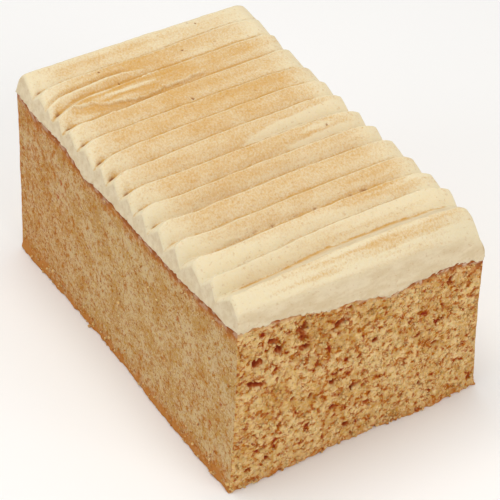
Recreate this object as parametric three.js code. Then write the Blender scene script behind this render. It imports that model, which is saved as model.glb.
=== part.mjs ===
// A slab-cut piece of coffee cake: a plain block of coffee sponge under a thick layer of
// coffee icing, combed across its width into ridges. Millimetres, +Z up. The origin is the
// middle of the base. X runs along the length, with the open-crumb end at +X, and Y runs
// across the width, along the ridges, with the knife-cut long side at -Y.

import * as THREE from 'three';
import { mergeVertices } from 'three/addons/utils/BufferGeometryUtils.js';

// ---- Driving dimensions ----

const LENGTH = 122;               // base, from end to end
const TOP_LENGTH = 121;           // at the top of the sponge
const HEIGHT = 64.4;              // of the highest ridge
const WIDENING = [-15, 45];       // stretch of X over which the slab widens towards the front

// The long sides, each value at the back and at the front: how far the foot lies from the
// middle, how far the sponge leans in up to its crust, and how far the icing leans in above it.
const FLARE = [0.9, 2.0];
const LEFT_SIDE = { foot: [39.6, 41.3], lean: [1.8, 1.3], cornerLean: 0 };
const RIGHT_SIDE = { foot: [40.3, 41.3], lean: [1.4, 0.7], cornerLean: 0.9 };
const CORNER_STRETCH = [46, 54];  // stretch of X over which the corner lean comes in
const SIDE_REACH = 39;            // Y at which the crust is measured for the leaning sides

// The front end stands back at its left corner: fully at the outer Y, not at all at the inner.
const SETBACK = { depth: 0.9, outer: -40, inner: -20, shareAtFoot: 0.3, startsAlong: 0.92 };

// Height of the sponge under the icing, along the left side (X, height) and then how much lower
// it lies along the front end (Y, drop): the icing is thickest over the front right corner.
const LEFT_CRUST = {
  points: [
    [-61, 58.0], [-52, 56.5], [-36, 56.4], [-28, 55.0], [-20, 52.9], [8, 53.3], [34, 53.5], [48, 54.5], [61, 55.8],
  ],
  softness: 2,
};
const FRONT_DROP = {
  points: [[-40, 0], [-24, 0.9], [-13, 3.6], [-4, 4.8], [8, 7.6], [20, 6.6], [31, 6.5], [40, 9.3]],
  softness: 4,
};
const BACK_SHARE = 0.35;          // share of the front drop that is left at the far end
const LAYER_GAP = 0.35;           // between the sponge and the icing that lies on it

// The comb's ridges, back to front. Each crest line passes through these X at the path places
// across the slab, and is this high. The groove in front of it is this deep at its left and
// right ends.
const PATH_PLACES = [-38, -30, 0, 30, 38];
const GROOVE_PLACES = [-36, 36];
const PATH_SOFTNESS = 2.2;
const RIDGES = [
  { path: [-58.2, -58.2, -58.0, -57.9, -57.8], height: HEIGHT, groove: [2.7, 0.6] },
  { path: [-48.5, -50.2, -49.7, -51.3, -50.0], height: 64.0, groove: [2.6, 1.4] },
  { path: [-36.5, -40.1, -41.6, -42.4, -41.2], height: 63.4, groove: [2.8, 2.2] },
  { path: [-30.5, -30.5, -32.0, -33.2, -33.4], height: 62.9, groove: [2.7, 1.5] },
  { path: [-22.1, -23.1, -23.9, -24.2, -22.6], height: 62.6, groove: [2.9, 1.4] },
  { path: [-12.6, -14.5, -15.7, -16.1, -14.3], height: 62.6, groove: [3.5, 2.3] },
  { path: [-5.5, -5.9, -7.4, -8.0, -6.5], height: 62.5, groove: [3.3, 3.7] },
  { path: [1.7, 2.6, 1.6, 1.2, 2.6], height: 62.4, groove: [3.3, 3.4] },
  { path: [9.6, 11.0, 9.9, 9.5, 10.7], height: 62.4, groove: [4.2, 3.2] },
  { path: [17.9, 19.3, 18.0, 18.0, 18.5], height: 62.4, groove: [4.1, 2.2] },
  { path: [27.1, 28.3, 27.1, 26.5, 28.0], height: 62.4, groove: [4.3, 2.6] },
  { path: [35.6, 36.6, 35.3, 35.1, 36.5], height: 62.5, groove: [3.4, 2.2] },
  { path: [45.0, 44.9, 42.6, 42.8, 45.0], height: 62.8, groove: [4.4, 3.3] },
  { path: [53.9, 53.6, 52.4, 53.4, 53.5], height: 63.1, groove: [0, 0] },
];
const PLAN_REACH = 38.5;          // Y of a long side when crest lines are looked up

// The slope that faces the far end is steep: its run is this share of the groove's depth and a
// little more, and never above this share of the gap between two crests.
const BACK_SLOPE = { run: 1.05, extra: 0.2, largest: 0.62 };
const CREST_ROUNDING = 1.15;      // power of the front slope: above 1 it bulges
const EDGE_ROUNDING = 1.5;        // the same for the slope from the last crest to the front lip
const SHORT_RIDGE = {
  line: [[-38, -42.6], [-30, -45.4], [-8, -47.2]],
  ahead: 4.0,
  behind: 2.0,
  rise: 1.3,
  fades: [-16, -7],
};

// Ends of the ridges: over the last millimetres each side the icing rounds down. Run and drop
// change along X. The right rim is rounded further, by a radius that grows to the last ridge.
const LEFT_ROUND = {
  runs: [[-58, 1.5], [-50, 3.5], [-6, 4.5], [9, 4.5], [54, 1.2]],
  drops: [[-58, 0.3], [-50, 1.6], [-6, 2.4], [9, 2.4], [54, 0.6]],
};
const RIGHT_ROUND = {
  runs: [[-58, 3.5], [-30, 5.0], [30, 6.0], [46, 8.0], [54, 14.0], [59, 8.0]],
  drops: [[-58, 1.3], [-30, 1.8], [30, 2.4], [54, 2.2], [59, 0.8]],
};
const RIGHT_RADIUS = [[-58, 0.5], [30, 0.7], [46, 1.2], [54, 3.0], [59, 0.8]];

// Edges of the icing over the two ends, its foot on the sponge, and how its cut faces bulge
// between the two. The front lip falls from left to right.
const BACK_LIP = { x: -60.3, height: 62.4 };
const FRONT_LIP = {
  x: 59.2,
  points: [
    [-40, 60.3], [-28, 60.3], [-16, 60.0], [0, 58.9], [8, 58.2], [17, 58.0], [26, 57.0], [33, 55.2], [40, 52.8],
  ],
  softness: 1,
};
const ICING_FOOT = 60.4;
const WALL_ROUNDING = 2.2;

// Relief of the open crumb on the two broken ends, and of the torn hollow near the front's
// upper left corner (centre Y and Z, half sizes, depth).
const CRAG = { depth: 0.9, alongY: 0.71, alongZ: 0.83 };
const HOLLOW = { y: -18, z: 41, halfWidth: 15, halfHeight: 11, depth: 1.1 };

// Divisions of the surfaces.
const SLOPE_STEPS = 3;            // on each slope of a ridge
const CROSS_STEPS = 12;           // across the width
const SPONGE_LENGTH_STEPS = 22;
const SPONGE_HEIGHT_STEPS = 8;
const ICING_HEIGHT_STEPS = 2;

// ---- Helpers ----

const { clamp, lerp, smoothstep } = THREE.MathUtils;

// Height at a place on a line of (place, height) points, straight between them.
function alongLine(points, place) {
  const last = points.length - 1;
  if (place <= points[0][0]) return points[0][1];
  if (place >= points[last][0]) return points[last][1];
  const next = points.findIndex((point) => point[0] > place);
  const [x0, z0] = points[next - 1];
  const [x1, z1] = points[next];
  return lerp(z0, z1, (place - x0) / (x1 - x0));
}

// The same line, averaged over five places a softness apart so that it has no corners.
function softLine({ points, softness }, place) {
  const offsets = [-2, -1, 0, 1, 2];
  const total = offsets.reduce((sum, k) => sum + alongLine(points, place + k * softness), 0);
  return total / offsets.length;
}

// A line from a list of places and a list of its values there.
function joined(places, values) {
  return places.map((place, i) => [place, values[i]]);
}

// ---- The slab's sides ----

// Height of the sponge's top crust.
function crustHeight(x, y) {
  const share = lerp(BACK_SHARE, 1, smoothstep(x, -LENGTH / 2, LENGTH / 2));
  return softLine(LEFT_CRUST, x) - share * softLine(FRONT_DROP, y);
}

// Y of a place at this share of the way across, -1 for the left side and 1 for the right. Up to
// the crust a side leans in along a parabola that ends upright, and above it steadily.
function sideY(x, z, share) {
  const side = share < 0 ? LEFT_SIDE : RIGHT_SIDE;
  const widening = smoothstep(x, ...WIDENING);
  const crust = crustHeight(x, SIDE_REACH * share);
  const up = Math.min(z / crust, 1);
  const over = clamp((z - crust) / (HEIGHT - crust), 0, 1);
  const lean = lerp(...side.lean, widening) + side.cornerLean * smoothstep(x, ...CORNER_STRETCH);
  return share * (lerp(...side.foot, widening) - lerp(...FLARE, widening) * up * (2 - up) - lean * over);
}

// How far the front end stands back at a place across the slab.
function setback(y) {
  return SETBACK.depth * (1 - smoothstep(y, SETBACK.outer, SETBACK.inner));
}

// Shares across the slab, -1 to 1, closer together near its two long sides.
function acrossShare(step) {
  return -Math.cos(Math.PI * step);
}

// ---- The icing's upper surface ----

// Stations along X: the back lip, every crest and groove with steps between, the front lip.
function icingStations() {
  const stations = [];
  const last = RIDGES.length - 1;
  const addSlope = (kind, ridge) => {
    for (let k = 0; k < SLOPE_STEPS; k += 1) stations.push({ kind, ridge, part: k / SLOPE_STEPS });
  };
  addSlope('back edge', 0);
  for (let ridge = 0; ridge < last; ridge += 1) {
    addSlope('front slope', ridge);
    addSlope('back slope', ridge + 1);
  }
  addSlope('front edge', last);
  stations.push({ kind: 'front edge', ridge: last, part: 1 });
  return stations;
}

function crestX(ridge, y) {
  return softLine({ points: joined(PATH_PLACES, RIDGES[ridge].path), softness: PATH_SOFTNESS }, y);
}

// The bottom of the groove in front of a ridge.
function groovePoint(ridge, y) {
  const depth = alongLine(joined(GROOVE_PLACES, RIDGES[ridge].groove), y);
  const next = crestX(ridge + 1, y);
  const gap = next - crestX(ridge, y);
  const run = Math.min(BACK_SLOPE.run * depth + BACK_SLOPE.extra, BACK_SLOPE.largest * gap);
  return { x: next - run, z: (RIDGES[ridge].height + RIDGES[ridge + 1].height) / 2 - depth };
}

// X and height of one station, before the ends of the ridges are rounded.
function profilePoint({ kind, ridge, part }, y) {
  const crest = { x: crestX(ridge, y), z: RIDGES[ridge].height };
  if (kind === 'front slope') {
    const groove = groovePoint(ridge, y);
    return { x: lerp(crest.x, groove.x, part), z: lerp(crest.z, groove.z, part ** CREST_ROUNDING) };
  }
  if (kind === 'back slope') {
    const groove = groovePoint(ridge - 1, y);
    return { x: lerp(groove.x, crest.x, part), z: lerp(groove.z, crest.z, part) };
  }
  if (kind === 'back edge') {
    return { x: lerp(BACK_LIP.x, crest.x, part), z: lerp(crest.z, BACK_LIP.height, (1 - part) ** 2) };
  }
  const lipX = FRONT_LIP.x - setback(y);
  return { x: lerp(crest.x, lipX, part), z: lerp(crest.z, softLine(FRONT_LIP, y), part ** EDGE_ROUNDING) };
}

// Height of the short extra ridge that splits off the second one over the left of the slab.
function shortRidge(x, y) {
  const off = x - alongLine(SHORT_RIDGE.line, y);
  const away = off > 0 ? off / SHORT_RIDGE.ahead : -off / SHORT_RIDGE.behind;
  return SHORT_RIDGE.rise * (1 - smoothstep(y, ...SHORT_RIDGE.fades)) * Math.max(1 - away, 0);
}

// How much the icing rounds down near a long side, at this distance from it.
function endDrop({ runs, drops }, x, distance) {
  return alongLine(drops, x) * Math.max(1 - distance / alongLine(runs, x), 0) ** 2;
}

// How much the right rim rounds down further: a quarter circle.
function rimDrop(x, distance) {
  const radius = alongLine(RIGHT_RADIUS, x);
  const inward = Math.max(radius - distance, 0);
  return radius - Math.sqrt(radius * radius - inward * inward);
}

// ---- The broken ends ----

// How far the crumb stands back from the end's plane, always zero or more.
function crumbDepth(y, z, end) {
  const crag = Math.sin(CRAG.alongY * y + end) * Math.sin(CRAG.alongZ * z + 2 * end);
  const inY = (y - HOLLOW.y) / HOLLOW.halfWidth;
  const inZ = (z - HOLLOW.z) / HOLLOW.halfHeight;
  const hollow = end > 0 ? HOLLOW.depth * Math.max(1 - inY * inY - inZ * inZ, 0) : 0;
  return CRAG.depth * (crag + 1) / 2 + hollow;
}

// ---- Meshes ----

// A box split into a grid, with each of its points moved by place(along, across, up).
function shapedBlock(name, steps, place, material) {
  const geometry = new THREE.BoxGeometry(1, 1, 1, ...steps);
  geometry.deleteAttribute('normal');
  geometry.deleteAttribute('uv');
  const merged = mergeVertices(geometry, 1e-6);
  const points = merged.getAttribute('position');
  for (let i = 0; i < points.count; i += 1) {
    const moved = place(points.getX(i) + 0.5, points.getY(i) + 0.5, points.getZ(i) + 0.5);
    points.setXYZ(i, moved.x, moved.y, moved.z);
  }
  merged.computeVertexNormals();
  const mesh = new THREE.Mesh(merged, material);
  mesh.name = name;
  return mesh;
}

// The sponge: flat base, leaning sides, uneven top crust, craggy ends.
function spongePoint(along, across, up) {
  const share = acrossShare(across);
  const straightX = (along - 0.5) * lerp(LENGTH, TOP_LENGTH, up);
  const nearY = sideY(straightX, 0, share);
  const z = up * crustHeight(straightX, nearY);
  const y = sideY(straightX, z, share);
  const end = along === 0 ? -1 : Number(along === 1);
  const inside = up > 0 && up < 1 && Math.abs(share) < 1;
  const crumb = inside ? end * crumbDepth(y, z, end) : 0;
  const corner = setback(nearY) * lerp(SETBACK.shareAtFoot, 1, up) * smoothstep(along, SETBACK.startsAlong, 1);
  return { x: straightX - crumb - corner, y, z };
}

// The icing: its underside follows the crust, its upper side carries the ridges.
function icingPoint(stations, along, across, up) {
  const station = stations[Math.round(along * (stations.length - 1))];
  const share = acrossShare(across);
  const top = profilePoint(station, PLAN_REACH * share);
  const topY = sideY(top.x, top.z, share);
  const fromLeft = topY - sideY(top.x, top.z, -1);
  const fromRight = sideY(top.x, top.z, 1) - topY;
  const rightDrop = endDrop(RIGHT_ROUND, top.x, fromRight) + rimDrop(top.x, fromRight);
  const topZ = top.z + shortRidge(top.x, topY) - endDrop(LEFT_ROUND, top.x, fromLeft) - rightDrop;
  const standsBack = setback(PLAN_REACH * share);
  const part = (top.x - BACK_LIP.x) / (FRONT_LIP.x - standsBack - BACK_LIP.x);
  const under = lerp(-ICING_FOOT, ICING_FOOT - standsBack, part);
  const underZ = crustHeight(under, sideY(under, 0, share)) + LAYER_GAP;
  const x = lerp(under, top.x, up ** WALL_ROUNDING);
  const z = lerp(underZ, topZ, up);
  return { x, y: sideY(x, z, share), z };
}

const spongeMaterial = new THREE.MeshStandardMaterial({ color: '#c79a5e', roughness: 0.95, metalness: 0 });
const icingMaterial = new THREE.MeshStandardMaterial({ color: '#ecd7ab', roughness: 0.6, metalness: 0 });

const spongeSteps = [SPONGE_LENGTH_STEPS, CROSS_STEPS, SPONGE_HEIGHT_STEPS];
const sponge = shapedBlock('sponge', spongeSteps, spongePoint, spongeMaterial);

const stations = icingStations();
const icingSteps = [stations.length - 1, CROSS_STEPS, ICING_HEIGHT_STEPS];
const placeIcing = (along, across, up) => icingPoint(stations, along, across, up);
const icing = shapedBlock('icing', icingSteps, placeIcing, icingMaterial);

const cake = new THREE.Group();
cake.name = 'coffee_cake';
cake.add(sponge, icing);

export default cake;
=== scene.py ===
"""Coffee cake: a slab-cut block of coffee sponge under a thick layer of combed coffee icing.

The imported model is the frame: it gives the slab's place and size. Both of its nodes, the plain
sponge and the plain ridged icing, are replaced here by surfaces with the pores, crags, torn
ridges and smears of the real cake, and loose crumbs cling to the broken ends. Everything is
worked out in millimetres, with the origin in the middle of the base, X along the slab, Y across
it and Z up, and is turned into metres when a mesh is made.
"""

import logging
import math
from dataclasses import dataclass, field
from enum import Enum

import bpy
import numpy as np
from mathutils import Matrix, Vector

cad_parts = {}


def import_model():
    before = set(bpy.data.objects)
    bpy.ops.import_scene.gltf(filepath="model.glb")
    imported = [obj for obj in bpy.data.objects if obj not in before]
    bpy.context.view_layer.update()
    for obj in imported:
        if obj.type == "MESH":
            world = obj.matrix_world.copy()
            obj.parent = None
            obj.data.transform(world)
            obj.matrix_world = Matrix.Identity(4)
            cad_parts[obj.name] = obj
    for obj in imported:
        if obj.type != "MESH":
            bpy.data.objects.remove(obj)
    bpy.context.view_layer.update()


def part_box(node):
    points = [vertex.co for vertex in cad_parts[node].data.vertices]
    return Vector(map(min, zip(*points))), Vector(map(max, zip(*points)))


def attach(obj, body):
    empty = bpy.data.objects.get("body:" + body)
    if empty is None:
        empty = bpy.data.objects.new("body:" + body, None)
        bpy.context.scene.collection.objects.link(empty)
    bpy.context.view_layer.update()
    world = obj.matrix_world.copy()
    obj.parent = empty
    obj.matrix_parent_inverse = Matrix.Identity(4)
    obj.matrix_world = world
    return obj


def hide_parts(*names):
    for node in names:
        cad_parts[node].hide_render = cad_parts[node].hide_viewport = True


LOG = logging.getLogger("coffee_cake")
MM = 0.001

# Large primes and bit masks that mix a lattice cell's numbers into a random one.
HASH_PRIMES = (73856093, 19349663, 83492791, 2654435761)
HASH_MIXERS = (1274126177, 668265263)
LOW_32_BITS = 2**32 - 1
LOW_24_BITS = 2**24 - 1

# Shares to which the rings that close a base or a top shrink, one after the other.
CAP_RINGS = (0.985, 0.9, 0.6, 0.3)

Array = np.ndarray
Colour = tuple[float, float, float]
Socket = bpy.types.NodeSocket


# ----------------------------------------
# Numbers and noise
# ----------------------------------------


def smoothstep(low: float | Array, high: float | Array, value: Array) -> Array:
    """Cubic ease from 0 at low to 1 at high.

    Args:
        low, high: where the step starts and ends.
        value: the numbers to ease.

    Returns:
        3t^2 - 2t^3 of each value's clamped share t of the way from low to high.
    """
    t = np.clip((value - low) / (high - low), 0.0, 1.0)
    return t * t * (3.0 - 2.0 * t)


def bump(value: Array, centre: float | Array, reach: float | Array) -> Array:
    """Smooth hump of height 1: (1 - d^2)^2, where d is the distance from centre over reach."""
    d = np.clip(np.abs(value - centre) / reach, 0.0, 1.0)
    return (1.0 - d * d) ** 2


def soft_line(places: tuple[float, ...], heights: tuple[float, ...], at: Array, softness: float) -> Array:
    """Height of a broken line, averaged over five places a softness apart, so it has no corners.

    Args:
        places: where the line's points lie, rising.
        heights: the line's height at each.
        at: where it is wanted.
        softness: distance between the averaged places.

    Returns:
        The mean of the line's height at -2, -1, 0, 1 and 2 softnesses from each place.
    """
    shifts = (-2, -1, 0, 1, 2)
    return sum(np.interp(at + k * softness, places, heights) for k in shifts) / len(shifts)


def lattice_random(cells: Array, seed: int) -> Array:
    """A fixed random number from 0 to 1 for every cell of a lattice.

    Args:
        cells: whole cell numbers, shape (..., 3).
        seed: picks one of many independent sets.

    Returns:
        An array of shape (...).
    """
    x, y, z = np.moveaxis(cells.astype(np.int64), -1, 0)
    n = (x * HASH_PRIMES[0]) ^ (y * HASH_PRIMES[1]) ^ (z * HASH_PRIMES[2]) ^ (seed * HASH_PRIMES[3])
    n = (n ^ (n >> 13)) & LOW_32_BITS
    n = (n * HASH_MIXERS[0]) & LOW_32_BITS
    n = n ^ (n >> 16)
    n = (n * HASH_MIXERS[1]) & LOW_32_BITS
    return ((n ^ (n >> 15)) & LOW_24_BITS) / (LOW_24_BITS + 1.0)


def value_noise(points: Array, size: float, seed: int) -> Array:
    """Smooth noise from -1 to 1: random values on a lattice, eased between its eight corners.

    Args:
        points: places, shape (..., 3).
        size: lattice spacing.
        seed: which noise.

    Returns:
        An array of shape (...).
    """
    scaled = points / size
    cell = np.floor(scaled)
    share = scaled - cell
    share = share * share * (3.0 - 2.0 * share)
    total = np.zeros(points.shape[:-1])
    for corner in np.ndindex(2, 2, 2):
        weight = np.prod(np.where(corner, share, 1.0 - share), axis=-1)
        total += weight * lattice_random(cell + np.array(corner), seed)
    return 2.0 * total - 1.0


def fractal_noise(points: Array, size: float, octaves: int, seed: int) -> Array:
    """Value noise added up over octaves, each half the size and half the strength of the last.

    Args:
        points: places, shape (..., 3).
        size: lattice spacing of the first octave.
        octaves: how many there are.
        seed: which noise.

    Returns:
        An array of shape (...).
    """
    total = np.zeros(points.shape[:-1])
    for octave in range(octaves):
        total += value_noise(points, size / 2**octave, seed + octave) / 2**octave
    return total


def noise_vector(points: Array, size: float, seed: int) -> Array:
    """Three independent two-octave noises as one vector for each point, shape (..., 3)."""
    return np.stack([fractal_noise(points, size, 2, seed + 10 * axis) for axis in range(3)], axis=-1)


def nearest_seed(points: Array, size: float, seed: int) -> tuple[Array, Array]:
    """Cellular noise: one random seed point in each lattice cell, and the nearest is found.

    Args:
        points: places, shape (..., 3).
        size: lattice spacing.
        seed: which set of seed points.

    Returns:
        The distance to the nearest seed point, and that seed's own random number from 0 to 1.
    """
    scaled = points / size
    cell = np.floor(scaled)
    best = np.full(points.shape[:-1], np.inf)
    who = np.zeros(points.shape[:-1])
    for shift in np.ndindex(3, 3, 3):
        other = cell + np.array(shift) - 1
        jitter = np.stack([lattice_random(other, seed + axis) for axis in (1, 2, 3)], axis=-1)
        distance = np.sum((scaled - other - jitter) ** 2, axis=-1)
        closer = distance < best
        best = np.where(closer, distance, best)
        who = np.where(closer, lattice_random(other, seed), who)
    return np.sqrt(best) * size, who


@dataclass(frozen=True)
class Lumps:
    """Rounded lumps that meet in sharp creases.

    Attributes:
        size: spacing of the lumps in mm.
        depth: how far the creases lie behind the lumps in mm.
        seed: which set of lumps.
    """

    size: float
    depth: float
    seed: int

    def crease(self, points: Array) -> Array:
        """Share from 0 on top of a lump to 1 in a crease: (d / 0.85 size)^2, d from its middle."""
        distance, _ = nearest_seed(points, self.size, self.seed)
        return np.clip((distance / (0.85 * self.size)) ** 2, 0.0, 1.0)


@dataclass(frozen=True)
class Pores:
    """A population of round pores, one at most in each cell of a lattice.

    Attributes:
        spacing: lattice spacing in mm.
        share: the share of cells that hold a pore.
        smallest: radius of the smallest pore in mm.
        largest: radius of the largest pore in mm.
        depth: how deep the middle of a pore lies in mm.
        flatness: how much wider than tall the pores are.
        seed: which set of pores.
    """

    spacing: float
    share: float
    smallest: float
    largest: float
    depth: float
    flatness: float
    seed: int

    def bowls(self, points: Array) -> Array:
        """How deep in a pore each point lies: 1 - (d / r)^2 inside a pore of radius r, else 0.

        The radius goes from smallest to largest with the square of the pore's random number.

        Args:
            points: places in mm, shape (..., 3).

        Returns:
            A share from 0 to 1 for each point.
        """
        stretched = points * np.array([1.0, 1.0, self.flatness])
        distance, who = nearest_seed(stretched, self.spacing, self.seed)
        radius = self.smallest + (self.largest - self.smallest) * (who / self.share) ** 2
        inside = np.clip(1.0 - (distance / radius) ** 2, 0.0, 1.0)
        return np.where(who < self.share, inside, 0.0)


# ----------------------------------------
# Meshes
# ----------------------------------------


class SurfaceMesh:
    """Points, faces and per-point values of one surface, collected block by block."""

    def __init__(self) -> None:
        """Starts with no points and no faces."""
        self.points: list[Array] = []
        self.values: dict[str, list[Array]] = {}
        self.faces: list[list[int]] = []
        self.count = 0

    def add_points(self, points: Array, values: dict[str, Array | float]) -> Array:
        """Adds a block of points.

        Args:
            points: places in mm, shape (..., 3).
            values: named numbers, one for each point or one for all.

        Returns:
            The index of each point in the mesh, in the block's own shape.
        """
        shape = points.shape[:-1]
        flat = points.reshape(-1, 3)
        index = np.arange(self.count, self.count + len(flat)).reshape(shape)
        self.count += len(flat)
        self.points.append(flat)
        for name, numbers in values.items():
            self.values.setdefault(name, []).append(np.broadcast_to(numbers, shape).ravel())
        return index

    def add_grid(self, index: Array, closed: bool = False) -> None:
        """Adds the quads between neighbouring rows and columns of an index grid.

        Args:
            index: point numbers, shape (rows, columns). Seen from outside, columns run to the
                right and rows run up.
            closed: whether the last column joins the first.
        """
        columns = np.concatenate([index, index[:, :1]], axis=1) if closed else index
        quads = np.stack([columns[:-1, :-1], columns[:-1, 1:], columns[1:, 1:], columns[1:, :-1]], axis=-1)
        self.faces.extend(quads.reshape(-1, 4).tolist())

    def add_fan(self, ring: Array, centre: int) -> None:
        """Closes a ring of points with triangles to one centre point."""
        fan = np.stack([ring, np.roll(ring, -1), np.full_like(ring, centre)], axis=-1)
        self.faces.extend(fan.tolist())

    def make(self, name: str, material: bpy.types.Material) -> bpy.types.Object:
        """Turns the surface into a smooth-shaded Blender object in metres.

        Args:
            name: the object's name.
            material: its finish.

        Returns:
            The new object, with one float attribute for each named value.
        """
        mesh = bpy.data.meshes.new(name)
        mesh.from_pydata((np.concatenate(self.points) * MM).tolist(), [], self.faces)
        for value, blocks in self.values.items():
            attribute = mesh.attributes.new(value, "FLOAT", "POINT")
            attribute.data.foreach_set("value", np.concatenate(blocks).astype(np.float32))
        mesh.shade_smooth()
        mesh.materials.append(material)
        piece = bpy.data.objects.new(name, mesh)
        bpy.context.scene.collection.objects.link(piece)
        return piece


# ----------------------------------------
# The slab that sponge and icing share
# ----------------------------------------


class Side(Enum):
    """The slab's four upright sides, in the order in which the walls run round it."""

    LEFT = 0
    FRONT = 1
    RIGHT = 2
    BACK = 3


@dataclass(frozen=True)
class Slab:
    """Outline and crust of the slab, in mm.

    Attributes:
        length: base, from end to end.
        top_length: at the top of the sponge.
        left_base: how far the left side's foot lies from the middle, at the back and the front.
        right_base: the same for the right side.
        flare: how far each long side leans in from base to crust, at the back and the front.
        widening: the stretch of X over which the slab widens towards the front.
        left_lean: how far the icing's left side leans in above the sponge, at the back and the front.
        right_lean: the same for the right side.
        corner_lean: how much more the right side leans in at the last ridge.
        corner_setback: how far the front end's left corner stands back.
        corner_stretch: the stretch of X over which that extra lean sets in.
        setback_stretch: the stretch of Y over which the corner comes to stand back.
        softness: how far apart the crust line's averaged places are.
        side_reach: how far from the middle the crust is measured for the leaning sides.
        crest_height: the highest ridge.
        crust_places: X of the points of the crust line along the left side.
        crust_heights: their heights.
        drop_places: Y of the points of the line by which the crust sinks across the front.
        drops: how far it sinks at each.
        back_share: the share of that sinking that is left at the back.
    """

    length: float
    top_length: float = 121.0
    left_base: tuple[float, float] = (39.6, 41.3)
    right_base: tuple[float, float] = (40.3, 41.3)
    flare: tuple[float, float] = (0.9, 2.0)
    widening: tuple[float, float] = (-15.0, 45.0)
    left_lean: tuple[float, float] = (1.8, 1.3)
    right_lean: tuple[float, float] = (1.4, 0.7)
    corner_lean: float = 0.9
    corner_setback: float = 0.9
    corner_stretch: tuple[float, float] = (46.0, 54.0)
    setback_stretch: tuple[float, float] = (-20.0, -40.0)
    softness: float = 0.8
    side_reach: float = 39.0
    crest_height: float = 64.4
    crust_places: tuple[float, ...] = (-61, -52, -44, -36, -28, -23, -20, -16, 8, 34, 48, 53, 61)
    crust_heights: tuple[float, ...] = (
        58.0, 56.3, 56.0, 56.5, 55.1, 53.0, 52.2, 53.4, 53.3, 53.5, 54.7, 53.9, 55.9,
    )
    drop_places: tuple[float, ...] = (-40, -24, -17, -13, -4, 4, 9, 12.5, 20, 30, 35, 40)
    drops: tuple[float, ...] = (0, 0.9, 2.5, 4.1, 4.5, 6.6, 8.3, 7.2, 6.6, 6.2, 7.6, 9.3)
    back_share: float = 0.35

    def crust(self, x: Array, y: Array) -> Array:
        """Height of the sponge's top crust: a line along the left side, lowered across the slab.

        Args:
            x, y: places along the slab and across it, in mm.

        Returns:
            The height in mm at each place.
        """
        share = self.back_share + (1.0 - self.back_share) * smoothstep(-self.length / 2, self.length / 2, x)
        line = soft_line(self.crust_places, self.crust_heights, x, self.softness)
        return line - share * soft_line(self.drop_places, self.drops, y, self.softness)

    def side_y(self, x: Array, z: Array, across: Array) -> Array:
        """Y of a place whose share of the way across is given, -1 for left and 1 for right.

        The base widens towards the front. Up to the crust each side leans in along a parabola
        that ends upright, and above the crust it leans in at a steady slope.

        Args:
            x: places along the slab in mm.
            z: their heights.
            across: their shares of the way across.

        Returns:
            Y of each place in mm.
        """
        widening = smoothstep(*self.widening, x)

        def reached(ends: tuple[float, float]) -> Array:
            """What the widening has made of a value that is given at the back and the front."""
            return np.interp(widening, (0, 1), ends)

        foot = np.where(across < 0, reached(self.left_base), reached(self.right_base))
        corner = self.corner_lean * smoothstep(*self.corner_stretch, x)
        lean = np.where(across < 0, reached(self.left_lean), reached(self.right_lean) + corner)
        crust = self.crust(x, self.side_reach * across)
        up = np.clip(z / crust, 0.0, 1.0)
        over = np.clip((z - crust) / (self.crest_height - crust), 0.0, 1.0)
        return across * (foot - reached(self.flare) * up * (2.0 - up) - lean * over)

    def end_x(self, z: Array, along: Array) -> Array:
        """X of a place whose share of the way along is given, -1 for the back and 1 for the front."""
        up = np.clip(z / self.crust_heights[0], 0.0, 1.0)
        return along * (self.length + (self.top_length - self.length) * up) / 2

    def setback(self, y: Array) -> Array:
        """How far the front end stands back at each Y: most at its left corner."""
        return self.corner_setback * smoothstep(*self.setback_stretch, y)


# ----------------------------------------
# Sponge
# ----------------------------------------


@dataclass(frozen=True)
class CrumbFace:
    """Crumb of one upright side of the sponge.

    Attributes:
        steps: stations along it.
        sway: height of its broad unevenness in mm.
        coarse: its large lumps.
        fine: its small lumps.
        grain: height of the finest grain in mm.
        pores: its pore populations, large to small.
        proud: how far its lumps stand in front of the slab's plain side in mm.
        open: from 0, cut clean by a knife, to 1, broken open.
    """

    steps: int
    sway: float
    coarse: Lumps
    fine: Lumps
    grain: float
    pores: tuple[Pores, ...]
    proud: float
    open: float


def broken_face(seed: int, steps: int) -> CrumbFace:
    """A broken, open-crumb end.

    Args:
        seed: which set of lumps and pores.
        steps: stations along the face.

    Returns:
        A face with deep creases and two sizes of pore.
    """
    pores = (
        Pores(4.4, 0.50, 0.40, 0.95, 1.1, 1.25, seed),
        Pores(2.3, 0.50, 0.26, 0.60, 0.7, 1.2, seed + 10),
    )
    return CrumbFace(
        steps=steps,
        sway=0.9,
        coarse=Lumps(2.5, 0.50, seed + 20),
        fine=Lumps(1.3, 0.12, seed + 30),
        grain=0.06,
        pores=pores,
        proud=0.4,
        open=1.0,
    )


def knife_face(seed: int, steps: int) -> CrumbFace:
    """A long side that a knife has cut smooth, with small scattered pores.

    Args:
        seed: which set of lumps and pores.
        steps: stations along the face.

    Returns:
        A nearly flat face with two sizes of small pore.
    """
    pores = (
        Pores(7.0, 0.35, 0.40, 0.80, 0.35, 1.0, seed),
        Pores(3.0, 0.30, 0.30, 0.55, 0.2, 1.0, seed + 10),
    )
    return CrumbFace(
        steps=steps,
        sway=0.25,
        coarse=Lumps(2.6, 0.10, seed + 20),
        fine=Lumps(1.2, 0.08, seed + 30),
        grain=0.05,
        pores=pores,
        proud=0.2,
        open=0.0,
    )


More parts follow.
